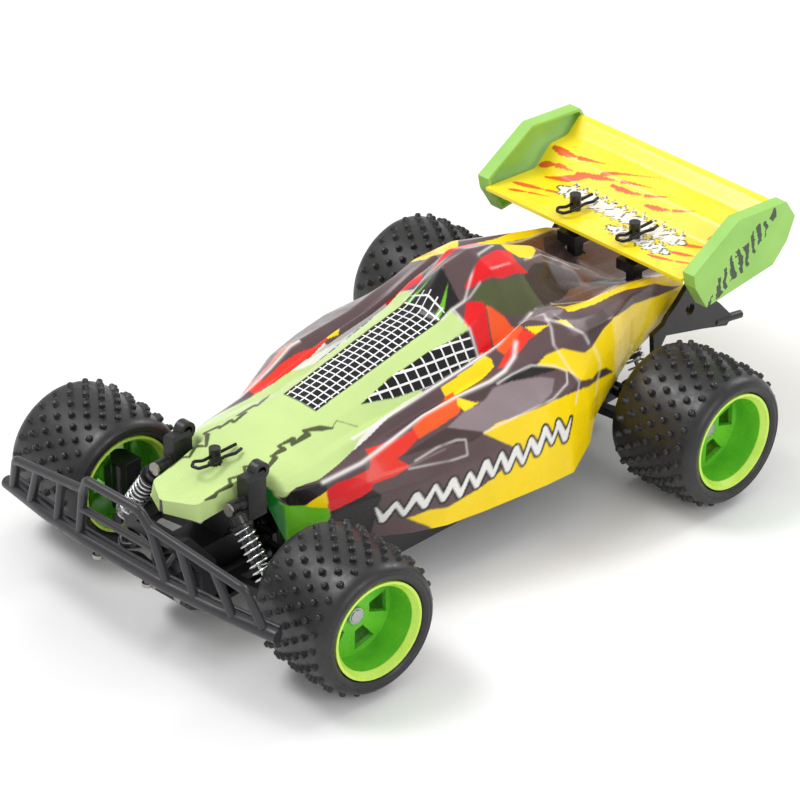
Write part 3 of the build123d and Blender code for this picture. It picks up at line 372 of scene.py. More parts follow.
# polygons in (y, s): painted in order, near side mirrored to the far side
PAINT = [
    (LGREEN, [(-40, -1), (-40, 9.2), (9.5, 9.2), (11.5, 6.38), (19.5, 5.6), (32, 5.5), (46.5, 5.1), (57, 4.75), (67, 4.45), (75, 4.3), (87, 3.9), (100, 3.5), (112, 3.1), (112, -1)]),
    (LGREEN, [(100, -1), (100, 2.1), (150, 2.1), (152, 0.9), (150, -1)]),
    (WHITE, [(58, 4.75), (70, 4.5), (84, 4.1), (100, 3.9), (118, 4.0), (140, 4.0), (152, 4.0), (152, 3.1), (140, 3.0), (118, 3.1), (100, 3.0), (88, 3.3), (75, 3.9), (64, 4.3)]),
    (GREY, [(96, 3.55), (118, 3.35), (140, 3.3), (154, 3.4), (154, 3.9), (140, 3.75), (118, 3.8)]),
    (YELLOW, [(117, 4.25), (126, 4.25), (148, 4.1), (150, 4.5), (149, 4.95), (136, 5.25), (121, 5.6), (116, 5.3)]),
    (DARK, [(11.5, 6.38), (20.5, 5.65), (34.5, 6.0), (34, 6.43), (25, 6.72), (21, 6.85), (14, 6.7)]),
    (GREEN, [(9.6, 6.6), (14, 6.7), (21, 6.85), (26, 6.85), (33, 7.4), (34, 9.2), (9.6, 9.2)]),
    # painted shade: the forward-facing step where the body widens behind the shock tower gets a darker green for the
    # shade on that face
    (GREEN_SHADED, [(9.6, 5.6), (11.2, 6.5), (12.4, 7.0), (12.4, 9.2), (9.0, 9.2), (8.8, 5.6)]),
    (YELLOW, [(33.5, 6.43), (25, 6.72), (22, 6.9), (32.5, 7.4)]),
    (DARK, [(33.5, 7.7), (50, 7.55), (56, 7.4), (59.5, 7.9), (58.5, 9.2), (33.5, 9.2)]),
    (REDOR, [(47.5, 6.43), (59, 6.45), (62, 6.0), (63.5, 5.15), (74, 5.9), (79, 6.1), (87.5, 6.15), (87.5, 6.42), (76.5, 6.6), (73, 6.62), (77, 7.05), (68, 7.25), (58.5, 7.2), (54, 7.3)]),
    (RED, [(33.5, 6.43), (39.5, 6.3), (48.5, 6.43), (52, 6.6), (58, 7.2), (56, 7.5), (50, 7.62), (33.5, 7.75), (32.5, 7.35)]),
    (ORANGE, [(87.5, 6.1), (94, 6.02), (103.5, 6.0), (113, 5.3), (116, 4.9), (122, 4.85), (119, 5.6), (118, 6.2), (113, 6.38), (98.5, 6.45), (87, 6.45)]),
    (YELLOW, [(117.5, 6.05), (126.5, 6.35), (116.5, 6.42), (115, 6.2)]),
    (DTAUPE, [(119.5, 6.12), (140, 6.12), (131, 6.33), (124.5, 6.33)]),
    (LTAUPE, [(102.5, 6.55), (115.5, 6.4), (128.5, 6.38), (139, 6.2), (149, 6.25), (165, 6.45), (172, 6.62), (166, 6.85), (154, 6.95), (141.5, 6.97), (118, 7.02)]),
    (DTAUPE, [(75.5, 6.62), (90.5, 6.58), (102.5, 6.56), (118, 7.05), (110.5, 7.18), (93, 6.85), (79, 6.7)]),
    (YELLOW, [(117, 7.06), (126.5, 6.95), (140, 7.0), (160, 7.0), (175, 7.1), (187, 7.25), (191, 7.35), (206, 7.65), (219, 7.8), (226, 7.4), (242, 7.0), (262, 6.75), (300, 6.85), (300, 9.2), (150, 9.2), (140, 8.2), (132, 8.0)]),
    (YELLOW, [(74, 8.66), (85, 8.6), (94, 8.66), (115.5, 8.5), (140, 8.2), (152, 8.6), (152, 9.2), (92, 9.2), (86, 8.95)]),
    # scoop in the pod: a dark patch of painted shade, standing in for the shadow in the recess under the pod's lip,
    # which the mesh doesn't model
    (DARK, [(137, 6.12), (150, 6.08), (166, 6.12), (176, 6.35), (178, 6.5), (160, 6.36), (146, 6.22)]),
    # windscreen and side mesh ground, cabin front
    (BLK, [(57, -1), (57, 0.98), (78, 0.94), (110, 0.9), (149, 0.86), (151, 0.3), (151, -1)]),
    (BLK, [(78, 2.05), (98.5, 1.74), (125, 1.78), (141, 1.98), (149.5, 2.1), (149.5, 2.92), (140, 2.98), (117, 2.95), (97, 2.62)]),
    (DARK, [(140.5, -1), (140.5, 0.4), (149, 0.86), (157, 1.05), (160, 0.4), (160, -1)]),
    (TAUPE, [(149, 0.85), (151, 2.1), (151, 3.0), (158, 3.0), (164, 1.2), (160, 0.3), (200, -1), (158, -1), (155, 0.9)]),
    (GREEN, [(141, 0.62), (146, 0.55), (155, 0.35), (147, 0.72), (142, 0.8)]),
    (TAUPE, [(156, -1), (157, 0.9), (166, 0.9), (180, 0.5), (192, 0.25), (200, -1)]),
    # cabin
    (OLIVE, [(162.5, 0.93), (178.5, 1.45), (199, 1.55), (209.5, 1.15), (221.5, 1.05), (220, 1.83), (209.5, 2.75), (192, 2.95), (180.5, 2.83), (173, 2.53), (164, 1.8), (161, 1.4)]),
    (TAIL, [(196, 1.6), (209.5, 1.1), (222, 1.0), (232, 0.9), (246, 1.3), (240, 2.4), (226, 2.6), (216, 2.95), (200, 2.98), (198, 2.4)]),
    (RED, [(160.5, 0.73), (170, 0.6), (179, 0.45), (190.5, 0.3), (200.5, 0.42), (196, 0.95), (201, 1.5), (190, 1.42), (179, 1.4), (167, 0.95), (162, 0.85)]),
    (YELLOW, [(198, -1), (198, 0.3), (202, 0.75), (210, 0.85), (217, 0.5), (222, 0.2), (222, -1)]),
    (BROWN, [(228, 0.5), (244, 0.2), (256, 0.2), (300, -1), (300, 4.3), (262.5, 4.1), (235.5, 4.7), (222.5, 4.03), (220.5, 2.88), (226, 2.6), (240, 2.4), (246, 1.3)]),
    (DTAUPE, [(246, 2.2), (262, 1.5), (274, 2.4), (272, 4.0), (262, 4.0)]),
    (TAUPE, [(221, -1), (221, 0.5), (230, 0.55), (250, 0.35), (262, -1)]),
    (RED, [(157.5, 1.0), (164, 1.65), (160, 2.6), (156, 3.6), (154, 4.1), (150.5, 4.2), (150.5, 3.0), (151.5, 2.48), (149.5, 1.75), (153, 1.4)]),
    (ORANGE, [(164, 1.8), (171.5, 2.53), (174.5, 3.15), (173.5, 4.2), (172.5, 4.95), (159, 5.3), (155.5, 4.28), (158.5, 3.4), (161, 2.6)]),
    (REDOR, [(159, 5.3), (165, 5.2), (172.5, 4.95), (178, 4.93), (174, 4.38), (173, 4.2), (167.5, 4.42), (155.5, 4.85), (149, 5.3), (152, 5.5)]),
    # rear flank
    (LTAUPE, [(178, 3.0), (192, 2.98), (204, 3.1), (204, 3.8), (196, 4.4), (186, 4.6), (180, 3.9), (176, 3.3)]),
    (TAUPE, [(160, 5.5), (176, 5.0), (186, 4.7), (196, 4.5), (204, 4.35), (216, 4.6), (232, 4.9), (246, 5.3), (262, 5.9), (270, 6.5), (247, 6.35), (226, 6.0), (213, 6.2), (203, 6.48), (196.5, 6.48), (184, 6.1), (175, 6.1), (166, 6.1), (150, 6.05)]),
    (YELLOW, [(205, 3.25), (202, 4.28), (217, 4.42), (237.5, 4.72), (248.5, 5.1), (260, 5.6), (272, 6.1), (300, 7.0), (300, 4.2), (271.5, 4.6), (257, 4.35), (243, 4.3), (226, 4.0), (206.5, 3.7)]),
    (YELLOW, [(174.5, 4.17), (186, 4.8), (177, 4.88)]),
    (YELLOW, [(190, 4.75), (196, 4.9), (197, 5.5), (193, 5.2)]),
    (DTAUPE, [(206, 5.3), (220, 5.12), (221, 5.9), (213.5, 6.15), (203, 6.48), (201, 6.3)]),
    (YELLOW, [(167, 6.2), (175, 6.1), (184, 6.1), (196.5, 6.48), (203, 6.48), (213.5, 6.15), (225.5, 5.95), (247, 6.33), (258, 6.5), (275, 6.85), (242.5, 7.02), (221.5, 7.8), (206, 7.65), (195, 7.2), (187.5, 7.0), (181.5, 6.62), (175.5, 6.43)]),
    (DTAUPE, [(224.5, 5.65), (239, 5.68), (250, 5.8), (260.5, 6.15), (271.5, 6.62), (262, 6.6), (246.5, 6.38), (222, 6.0)]),
    (TAUPE, [(176, 6.6), (186, 6.95), (192, 7.25), (187, 7.28), (175, 7.1), (170, 6.8)]),
    (DTAUPE, [(197.5, 7.3), (204, 7.3), (212, 7.45), (219, 7.85), (206, 7.65)]),
]
# saw-tooth stripe over the bonnet, and three generic flashes where the picture has print
ZIG = [(-22, 1.05), (-16, 1.5), (-14, 0.98), (-6, 1.25), (-4, 0.8), (4, 1.1), (6.5, 0.72), (13, 1.02), (13.5, 1.55), (21, 1.32), (20, 1.0), (28, 1.25), (27.5, 0.9), (36, 1.2),
       (33, 1.42), (44, 1.65), (43.5, 1.25), (52, 1.9), (58, 2.35)]


def raster(points, yy, ss):
    inside = np.zeros(yy.shape, bool)
    n = len(points)
    for i in range(n):
        y0, s0 = points[i]
        y1, s1 = points[(i + 1) % n]
        if s0 == s1:
            continue
        cross = ((s0 > ss) != (s1 > ss)) & (yy < (y1 - y0) * (ss - s0) / (s1 - s0) + y0)
        inside ^= cross
    return inside


NY, NS = 1328, 720
ry = np.linspace(-36, 296, NY)
rs = np.linspace(0, 9, NS)
RY, RS = np.meshgrid(ry, rs, indexing="ij")
canvas = np.zeros((NY, NS, 3))
canvas[:] = lin(TAUPE)[:3]
for rgb, poly in PAINT:
    canvas[raster(poly, RY, RS)] = lin(rgb)[:3]


# the saw-tooth stripe is drawn by distance, in millimetres on the surface
def surf(y, s):
    """Position in millimetres, y measured from the front axle."""
    i = np.clip(np.searchsorted(ST_Y, y, side="right") - 1, 0, len(ST_Y) - 2)
    t = (y - ST_Y[i]) / (ST_Y[i + 1] - ST_Y[i])
    j = np.clip(np.floor(s).astype(int), 0, 8)
    u = s - j
    a = ST_P[i, j] * (1 - u)[..., None] + ST_P[i, j + 1] * u[..., None]
    b = ST_P[i + 1, j] * (1 - u)[..., None] + ST_P[i + 1, j + 1] * u[..., None]
    p = a * (1 - t)[..., None] + b * t[..., None]
    return np.stack([p[..., 0], y, p[..., 1]], -1)


POS = surf(RY, RS)


def stroke(points, width, rgb, taper=False):
    q = surf(np.array([p[0] for p in points], float), np.array([p[1] for p in points], float))
    best = np.full(RY.shape, 1e9)
    n = len(q) - 1
    for i in range(n):
        a, b = q[i], q[i + 1]
        d = b - a
        t = np.clip(((POS - a) @ d) / (d @ d), 0, 1)
        w = width[i] * (1 - t) + width[i + 1] * t if isinstance(width, (list, tuple)) else width
        dist = np.linalg.norm(POS - a - t[..., None] * d, axis=-1)
        best = np.minimum(best, dist - w / 2)
    canvas[best < 0] = lin(rgb)[:3]


stroke(ZIG, [0.9, 2.3, 1.5, 2.5, 1.5, 2.7, 1.5, 2.9, 1.7, 2.9, 1.5, 3.0, 1.5, 3.0, 1.7, 3.6, 1.4, 3.6, 1.0], OLIVE)
stroke([(57, 2.35), (62, 2.1), (70, 2.9)], 0.5, OLIVE)

# jagged generic flash along the pod, pale with a dark edge
JAG, wid = [], []
for i in range(25):
    f = i / 24.0
    y = 58 + 116 * f
    s0 = 8.42 - 0.3 * f
    a = 0.16 + 0.04 * math.sin(i * 2.3)
    JAG.append((y, s0 + (a if i % 2 else -a)))
    wid.append(3.1 + 0.9 * math.sin(i * 1.7 + 0.4))
wid[0] = wid[-1] = 0.8
stroke(JAG, [w + 2.8 for w in wid], (26, 22, 24))
stroke(JAG, wid, (236, 234, 230))


def paint_highlight_line(points, width, rgb, alpha):
    """Painted highlight: a soft pale line blended into the livery along a crest, standing in for the reflection of the
    studio light.
    """
    q = surf(np.array([p[0] for p in points], float), np.array([p[1] for p in points], float))
    best = np.full(RY.shape, 1e9)
    for a, b in zip(q, q[1:]):
        d = b - a
        t = np.clip(((POS - a) @ d) / (d @ d), 0, 1)
        best = np.minimum(best, np.linalg.norm(POS - a - t[..., None] * d, axis=-1))
    k = (alpha * np.exp(-0.5 * (best / (width * 0.42)) ** 2))[..., None]
    canvas[:] = canvas * (1 - k) + np.array(lin(rgb)[:3]) * k


# painted highlights: soft pale reflection lines laid into the livery colour along the shell's crests, lips and cabin
# edges
HIGHLIGHT_PALE = (240, 236, 232)
paint_highlight_line([(33, 5.95), (57, 5.97), (78, 6), (95, 6), (117, 6), (140, 6.02), (150, 5.9), (160, 5.3), (166, 4.6)], 2.0, HIGHLIGHT_PALE, 0.85)
paint_highlight_line([(62, 3.9), (78, 4), (95, 4), (117, 4), (140, 4), (157, 4), (175, 3.5), (188, 3.05)], 1.8, HIGHLIGHT_PALE, 0.8)
paint_highlight_line([(95, 3.25), (117, 3.05), (140, 3.0), (152, 3.0)], 1.3, HIGHLIGHT_PALE, 0.7)
paint_highlight_line([(149.5, 3.0), (150.5, 2.1), (150, 0.9)], 1.1, HIGHLIGHT_PALE, 0.75)
paint_highlight_line([(143, 0.9), (149, 0.88), (157, 0.95), (166, 0.7), (178, 0.3), (192, 0.05)], 1.1, HIGHLIGHT_PALE, 0.6)
paint_highlight_line([(150, 0.9), (160, 1.0), (168, 1.0)], 1.0, HIGHLIGHT_PALE, 0.5)
paint_highlight_line([(142, 6.15), (152, 6.12), (164, 6.15), (176, 6.4), (181, 6.62), (178, 6.85), (164, 6.98), (140, 7.0), (118, 7.05)], 0.9, HIGHLIGHT_PALE, 0.7)
paint_highlight_line([(187, 4.4), (194, 5.2), (199, 5.9), (201, 6.3)], 1.5, HIGHLIGHT_PALE, 0.55)
paint_highlight_line([(178, 3.3), (188, 4.0), (186, 5.0), (181, 5.9), (183, 6.6), (186, 7.0), (180, 7.6)], 1.2, HIGHLIGHT_PALE, 0.5)
# warm-tinted painted highlights on the yellow rear flank
paint_highlight_line([(206, 3.0), (222, 4.0), (247, 4.2), (271, 4.6)], 1.2, (255, 246, 170), 0.6)
paint_highlight_line([(204, 6.5), (207, 7.2), (200, 8.0)], 2.2, (255, 246, 170), 0.5)
paint_highlight_line([(80, 6.95), (92, 6.88), (103, 6.92), (107, 7.0), (106, 7.6), (98, 7.55), (84, 7.3), (76, 7.15)], 0.9, HIGHLIGHT_PALE, 0.55)
paint_highlight_line([(204, 0.9), (222, 0.5), (240, 0.4), (252, 0.6)], 1.0, HIGHLIGHT_PALE, 0.45)


def blur(a, sy, ss):
    for axis, s in ((0, sy), (1, ss)):
        if s <= 0:
            continue
        r = int(3 * s) + 1
        k = np.exp(-0.5 * (np.arange(-r, r + 1) / s) ** 2)
        k /= k.sum()
        pad = [(0, 0)] * a.ndim
        pad[axis] = (r, r)
        b = np.pad(a, pad, mode="edge")
        out = np.zeros_like(a)
        for i, w in enumerate(k):
            sl = [slice(None)] * a.ndim
            sl[axis] = slice(i, i + a.shape[axis])
            out += w * b[tuple(sl)]
        a = out
    return a


canvas = blur(canvas, 0.5, 0.5)


def paint(y, s):
    fy = np.clip((y + 36) / 332 * (NY - 1), 0, NY - 1.001)
    fs = np.clip(np.abs(s) / 9 * (NS - 1), 0, NS - 1.001)
    i, j = fy.astype(int), fs.astype(int)
    u, v = (fy - i)[..., None], (fs - j)[..., None]
    return (canvas[i, j] * (1 - u) * (1 - v) + canvas[i + 1, j] * u * (1 - v) + canvas[i, j + 1] * (1 - u) * v + canvas[i + 1, j + 1] * u * v)


# rows at about 0.75 mm, with the station rows exactly in it
rows = []
for a, b in zip(ST_Y, ST_Y[1:]):
    rows += list(np.linspace(a, b, max(2, int(round((b - a) / 0.75))), endpoint=False))
rows = np.array(rows + [ST_Y[-1]])
cols = []
for j in range(9):
    longest = max(np.hypot(*(ST_P[i, j + 1] - ST_P[i, j])) for i in range(2, len(ST_Y)))
    n = max(4, int(round(min(longest, 30) / 0.8)))
    cols += list(j + np.linspace(0, 1, n, endpoint=False))
cols = np.array(cols + [9.0])
half = len(cols)
GY, GS = np.meshgrid(rows, cols, indexing="ij")
grid = surf(GY, GS)
# full ring: right bottom edge .. centre .. left bottom edge
left = grid[:, ::-1].copy()
right = grid[:, 1:].copy()
right[..., 0] *= -1
ringp = np.concatenate([left, right], axis=1)
ring_s = np.concatenate([GS[:, ::-1], -GS[:, 1:]], axis=1)
ring_y = np.concatenate([GY[:, ::-1], GY[:, 1:]], axis=1)


def soften(p, times, step):
    """Rounds the creases a little; the edges stay."""
    for _ in range(times):
        q = p.copy()
        q[1:-1] += step * (p[2:] + p[:-2] - 2 * p[1:-1])
        r = q.copy()
        r[:, 1:-1] += step * (q[:, 2:] + q[:, :-2] - 2 * q[:, 1:-1])
        p = r
    return p


keep = ringp.copy()
ringp = soften(ringp, 6, 0.22)
ringp[..., 1] = keep[..., 1]
ringp[0], ringp[-1] = keep[0], keep[-1]
ringp[:, 0], ringp[:, -1] = keep[:, 0], keep[:, -1]

du = np.gradient(ringp, axis=0)
dv = np.gradient(ringp, axis=1)
nrm = np.cross(du, dv)
nrm /= np.maximum(np.linalg.norm(nrm, axis=-1), 1e-9)[..., None]
centre = np.array([0, 0, 45.0])
out_dir = ringp - np.stack([np.zeros_like(ring_y), ring_y, np.full_like(ring_y, 45.0)], -1)
flip = np.sign((nrm * out_dir).sum(-1).mean())
nrm = nrm * flip
inner = ringp - nrm * 1.1
inner[0] = ringp[0] * [0.5, 1, 1] + [0, 2.2, -1.0]
inner[1:3] = np.where(np.abs(inner[1:3]) > 1e-9, inner[1:3], inner[1:3])
inner[-1, :, 1] = keep[-1, :, 1]
R_, C_ = ringp.shape[:2]

# holes for the body posts: the faces inside are dropped and the rims are joined
HOLES = [("c", 0.0, 0.0, 3.7), ("q", 21.3, 275.0, 4.1), ("q", -21.3, 275.0, 4.1)]


def in_hole(x, y):
    for kind, hx, hy, r in HOLES:
        if kind == "c" and math.hypot(x - hx, y - hy) < r:
            return True
        if kind == "q" and abs(x - hx) < r and abs(y - hy) < r:
            return True
    return False


fc = 0.25 * (ringp[:-1, :-1] + ringp[1:, :-1] + ringp[1:, 1:] + ringp[:-1, 1:])
hole = np.zeros(fc.shape[:2], bool)
for kind, hx, hy, r in HOLES:
    if kind == "c":
        hole |= (np.hypot(fc[..., 0] - hx, fc[..., 1] - hy) < r) & (fc[..., 2] > 60)
    else:
        hole |= (np.abs(fc[..., 0] - hx) < r) & (np.abs(fc[..., 1] - hy) < r) & (fc[..., 2] > 60)
idx = np.arange(R_ * C_).reshape(R_, C_)
off = R_ * C_
faces, mi = [], []
for i in range(R_ - 1):
    for j in range(C_ - 1):
        if hole[i, j]:
            continue
        a, b, c, d = idx[i, j], idx[i + 1, j], idx[i + 1, j + 1], idx[i, j + 1]
        faces.append((a, b, c, d))
        mi.append(0)
        faces.append((a + off, d + off, c + off, b + off))
        mi.append(1)
        for di, dj, p, q in ((-1, 0, a, d), (1, 0, c, b), (0, -1, b, a), (0, 1, d, c)):
            ii, jj = i + di, j + dj
            edge = ii < 0 or jj < 0 or ii >= R_ - 1 or jj >= C_ - 1
            if edge or hole[ii, jj]:
                faces.append((p, q, q + off, p + off))
                mi.append(0 if not edge else 1)
allv = np.vstack([ringp.reshape(-1, 3), inner.reshape(-1, 3)])
allv = allv + [0, FA, 0]
used = np.zeros(len(allv), bool)
fa = np.array(faces)
used[fa.ravel()] = True
remap = np.cumsum(used) - 1
fa = remap[fa]


def body_material():
    k = Nodes("painted_shell")
    att = k.new("ShaderNodeVertexColor", layer_name="livery")
    x, y, z = k.separate()
    # windscreen grid: lines every 4.9 mm across and every 4.2 mm along; side grid a little wider
    def lines(v, pitch, width, shift=0.0):
        f = k.math("FRACT", k.math("ADD", k.math("DIVIDE", v, pitch), 100.5 + shift))
        return k.math("LESS_THAN", k.math("ABSOLUTE", k.math("SUBTRACT", f, 0.5)), width / pitch / 2)
    ax = k.math("ABSOLUTE", x)
    yy = k.math("SUBTRACT", y, FA * 0.001)
    screen = k.math("MAXIMUM", lines(ax, 0.0049, 0.00078), lines(yy, 0.0043, 0.00078))
    side = k.math("MAXIMUM", lines(z, 0.0046, 0.00092, 0.3), lines(yy, 0.0060, 0.00092))
    mask = k.new("ShaderNodeVertexColor", layer_name="grids")
    sep = k.new("ShaderNodeSeparateColor")
    k.link(mask.outputs["Color"], sep.inputs[0])
    m = k.math("MAXIMUM", k.math("MULTIPLY", k.math("GREATER_THAN", sep.outputs[0], 0.5), screen),
               k.math("MULTIPLY", k.math("GREATER_THAN", sep.outputs[1], 0.5), side))
    shade = k.range(k.noise(22, 3), 0.93, 1.05)
    col = k.mix(m, att.outputs["Color"], lin((236, 236, 236)))
    tint = k.new("ShaderNodeCombineColor")
    for s in range(3):
        k.link(shade, tint.inputs[s])
    col = k.mix(1.0, col, tint.outputs[0], "MULTIPLY")
    k.link(col, k.bsdf.inputs["Base Color"])
    k.link(k.range(k.noise(90, 4), 0.2, 0.34), k.bsdf.inputs["Roughness"])
    k.bsdf.inputs["Coat Weight"].default_value = 0.16
    k.bsdf.inputs["Coat Roughness"].default_value = 0.06
    k.bsdf.inputs["Specular IOR Level"].default_value = 0.28
    k.bump(k.noise(900, 3), 0.06, 0.00005)
    return k.mat


PAINTED = body_material()
INSIDE = plastic("shell_inside", (150, 146, 140), 0.5, 0.1, 600, 0.2, 0.0003)
body = make("body_shell_painted", allv[used] * 0.001, fa, [PAINTED, INSIDE], "chassis", 35, mi)
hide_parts("body_shell")
rgb = paint(ring_y, ring_s)
# the far pod's livery isn't a mirror image of the near one
FAR = [
    (TAUPE, [(108, 3.6), (192, 3.6), (192, 7.0), (100, 7.0), (104, 5.0)]),
    (REDOR, [(60, 3.9), (70, 3.7), (96, 3.6), (112, 3.9), (112, 4.6), (101, 5.2), (84, 5.6), (62, 5.6)]),
    (YELLOW, [(110, 3.9), (117, 3.7), (121, 4.2), (113, 4.6)]),
    (YELLOW, [(187, 4.4), (192, 4.0), (205, 4.0), (213, 4.6), (219, 5.2), (223, 5.8), (222, 6.7), (196, 6.7), (189, 6.2)]),
]
for colour, poly in FAR:
    rgb[(ring_s < 0) & raster(poly, ring_y, np.abs(ring_s))] = lin(colour)[:3]
rgb = rgb.reshape(-1, 3)
full = np.ones((len(allv), 4))
full[:off, :3] = rgb
full[off:, :3] = rgb
me = body.data
att = me.color_attributes.new("livery", "FLOAT_COLOR", "POINT")
att.data.foreach_set("color", full[used].astype(np.float32).ravel())
g = np.zeros((len(allv), 4))
g[:, 3] = 1
as_ = np.abs(ring_s)
screen = raster([(57.6, -1), (57.6, 0.93), (78, 0.9), (110, 0.86), (148.4, 0.82), (148.4, -1)], ring_y, as_) & (ring_y < 149 - np.clip(as_ - 0.3, 0, 1) * 6)
sidem = raster(PAINT[[p[1][0] for p in PAINT].index((78, 2.05))][1], ring_y, as_)
g[:off, 0] = screen.ravel()
g[:off, 1] = sidem.ravel()
att2 = me.color_attributes.new("grids", "FLOAT_COLOR", "POINT")
att2.data.foreach_set("color", g[used].astype(np.float32).ravel())


# ------------------------------------------------------------------ wheels
def frame_of(tag):
    """4x4 from the wheel's own frame (lip plane at x = 0, inboard negative) to the car, mm."""
    s = 1 if tag[1] == "l" else -1
    if tag[0] == "f":
        m = Matrix.Translation((s * 72.0, FA, AZ)) @ Matrix.Rotation(math.radians(-5.2), 4, "Z") @ Matrix.Translation((s * 47.4, 0, 0))
    else:
        m = Matrix.Translation((s * 122.5, FA + WB, AZ))
    m = m @ Matrix.Diagonal((s, 1, 1, 1))
    return np.array(m)


def rubber():
    k = Nodes("tyre_rubber")
    c0, c1 = lin((19, 18, 20)), lin((36, 33, 36))
    k.link(k.ramp(k.noise(120, 5, 0.6), [(0.3, c0), (0.72, c1)]), k.bsdf.inputs["Base Color"])
    k.link(k.range(k.noise(260, 4), 0.3, 0.5), k.bsdf.inputs["Roughness"])
    k.bsdf.inputs["Specular IOR Level"].default_value = 0.55
    k.bump(k.noise(1700, 3), 0.5, 0.0001, 0.0003)
    return k.mat


RUBBER = rubber()


def tyre(tag):
    m = frame_of(tag)
    b = Build()
    prof = [(-3.2, 25.2), (-2.45, 26.6), (-0.9, 26.75), (0.4, 27.6), (1.05, 29.2), (1.1, 30.4), (0.75, 31.0), (1.0, 31.6), (0.7, 32.3), (-0.5, 33.6), (-2.4, 34.7), (-5.4, 35.4),
            (-15, 35.7), (-27, 35.75), (-39, 35.7), (-48.6, 35.4), (-51.6, 34.7), (-53.5, 33.6), (-54.6, 32.3), (-54.9, 31.6), (-54.65, 31.0), (-55.0, 30.4), (-54.95, 29.2),
            (-54.3, 27.6), (-53.0, 26.75), (-51.45, 26.6), (-50.7, 25.2), (-47.5, 25.2), (-48.6, 31.2), (-47, 33.2), (-6.9, 33.2), (-5.3, 31.2), (-6.4, 25.2)]
    b.revolve(prof, 96, 0, True, m)
    rows_, per = 7, 24
    n = 8
    a = np.linspace(0, 2 * math.pi, n, endpoint=False)
    for i in range(rows_):
        t = (i - (rows_ - 1) / 2) / ((rows_ - 1) / 2)
        x = -27 + t * 20.0
        lean = t * 0.36
        base, top = 34.6, 38.6 - 0.9 * abs(t) ** 4
        for q in range(per):
            ang = 2 * math.pi * (q + 0.5 * (i % 2)) / per
            d = np.array([math.sin(lean), math.cos(lean)])      # (x, radial)
            o = np.array([x, base])
            h = (top - base) / d[1]
            rad = 1.6
            ringset = []
            for hh, rr in ((0, rad * 1.5), (h * 0.42, rad * 1.1), (h - 0.5, rad * 0.9), (h - 0.08, rad * 0.55)):
                c = o + d * hh
                px = c[0] + rr * np.cos(a) * d[1]
                pr = c[1] - rr * np.cos(a) * d[0]
                pt = rr * np.sin(a)
                ringset.append(np.stack([px, pr, pt], -1))
            tip = o + d * (h + 0.05)
            pts = np.vstack(ringset + [[[tip[0], tip[1], 0.0]], [[o[0], o[1], 0.0]]])
            x_, r_, t_ = pts[:, 0], pts[:, 1], pts[:, 2]
            v = np.stack([x_, r_ * math.cos(ang) - t_ * math.sin(ang), r_ * math.sin(ang) + t_ * math.cos(ang)], -1)
            v = v @ m[:3, :3].T + m[:3, 3]
            f = []
            for w in range(3):
                for e in range(n):
                    g2 = (e + 1) % n
                    f.append((w * n + e, w * n + g2, (w + 1) * n + g2, (w + 1) * n + e))
            for e in range(n):
                g2 = (e + 1) % n
                f.append((3 * n + e, 3 * n + g2, 4 * n))
                f.append((g2, e, 4 * n + 1))
            b.add(v, f, 0)
    o = b.make("tyre_tread_" + tag, [RUBBER], "wheel_" + tag, "tyre_rubber", 38)
    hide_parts("tyre_" + tag)


for t in TAGS:
    tyre(t)


def rim_material(tag):
    k = Nodes("rim_" + tag)
    m = frame_of(tag)
    origin, axis = m[:3, 3] * 0.001, m[:3, 0]
    sub = k.new("ShaderNodeVectorMath", operation="SUBTRACT")
    k.link(k.obj, sub.inputs[0])
    sub.inputs[1].default_value = tuple(origin)
    cr = k.new("ShaderNodeVectorMath", operation="CROSS_PRODUCT")
    k.link(sub.outputs[0], cr.inputs[0])
    cr.inputs[1].default_value = tuple(axis)
    ln = k.new("ShaderNodeVectorMath", operation="LENGTH")
    k.link(cr.outputs[0], ln.inputs[0])
    n = k.noise(60, 4)
    body_ = k.ramp(n, [(0.3, lin((96, 192, 48))), (0.7, lin((120, 208, 56)))])
    lip = k.ramp(n, [(0.3, lin((186, 226, 74))), (0.7, lin((206, 236, 100)))])
    dot = k.new("ShaderNodeVectorMath", operation="DOT_PRODUCT")
    k.link(sub.outputs[0], dot.inputs[0])
    dot.inputs[1].default_value = tuple(axis)
    end = k.math("GREATER_THAN", k.math("ABSOLUTE", k.math("ADD", dot.outputs["Value"], 0.02695)), 0.0236)
    wide = k.math("MULTIPLY", end, k.range(ln.outputs["Value"], 0.0, 1.0, 0.0218, 0.0222))
    fac = k.math("MAXIMUM", wide, k.range(ln.outputs["Value"], 0.0, 1.0, 0.0246, 0.0252))
    k.link(k.mix(fac, body_, lip), k.bsdf.inputs["Base Color"])
    k.link(k.range(k.noise(200, 4), 0.22, 0.36), k.bsdf.inputs["Roughness"])
    k.bump(k.noise(1200, 2), 0.15, 0.00005, 0.0005)
    return k.mat


for t in TAGS:
    give("rim_" + t, rim_material(t))

GREEN_RING = plastic("hub_ring", (96, 190, 52), 0.34, 0.1, 900, 0.2, 0.0004)
PALE_RING = plastic("hub_ring_edge", (206, 226, 190), 0.4, 0.06, 900, 0.2, 0.0004)
for tag, sx in (("rl", 1), ("rr", -1)):
    m = np.array(Matrix.Translation((0, FA + WB, AZ)) @ Matrix.Diagonal((sx, 1, 1, 1)))
    b = Build()
    b.revolve([(54.1, 5.4), (54.1, 6.4), (53.6, 6.9), (52.6, 6.9), (52.1, 6.5), (51.9, 6.2), (52.0, 5.4)], 48, 0, True, m)
    b.revolve([(54.6, 6.0), (54.6, 7.0), (54.3, 7.4), (53.6, 7.4), (53.2, 7.0), (53.2, 6.0)], 48, 1, True, m)
    b.make("hub_ring_" + tag, [GREEN_RING, PALE_RING], "hub_upright_" + tag, "lime_plastic", 35)

# ------------------------------------------------------------------ wing
WING = [(257.6, 106.8), (295.0, 104.0), (305.5, 114.5), (319.2, 114.8), (327.9, 123.0), (331.4, 122.4)]


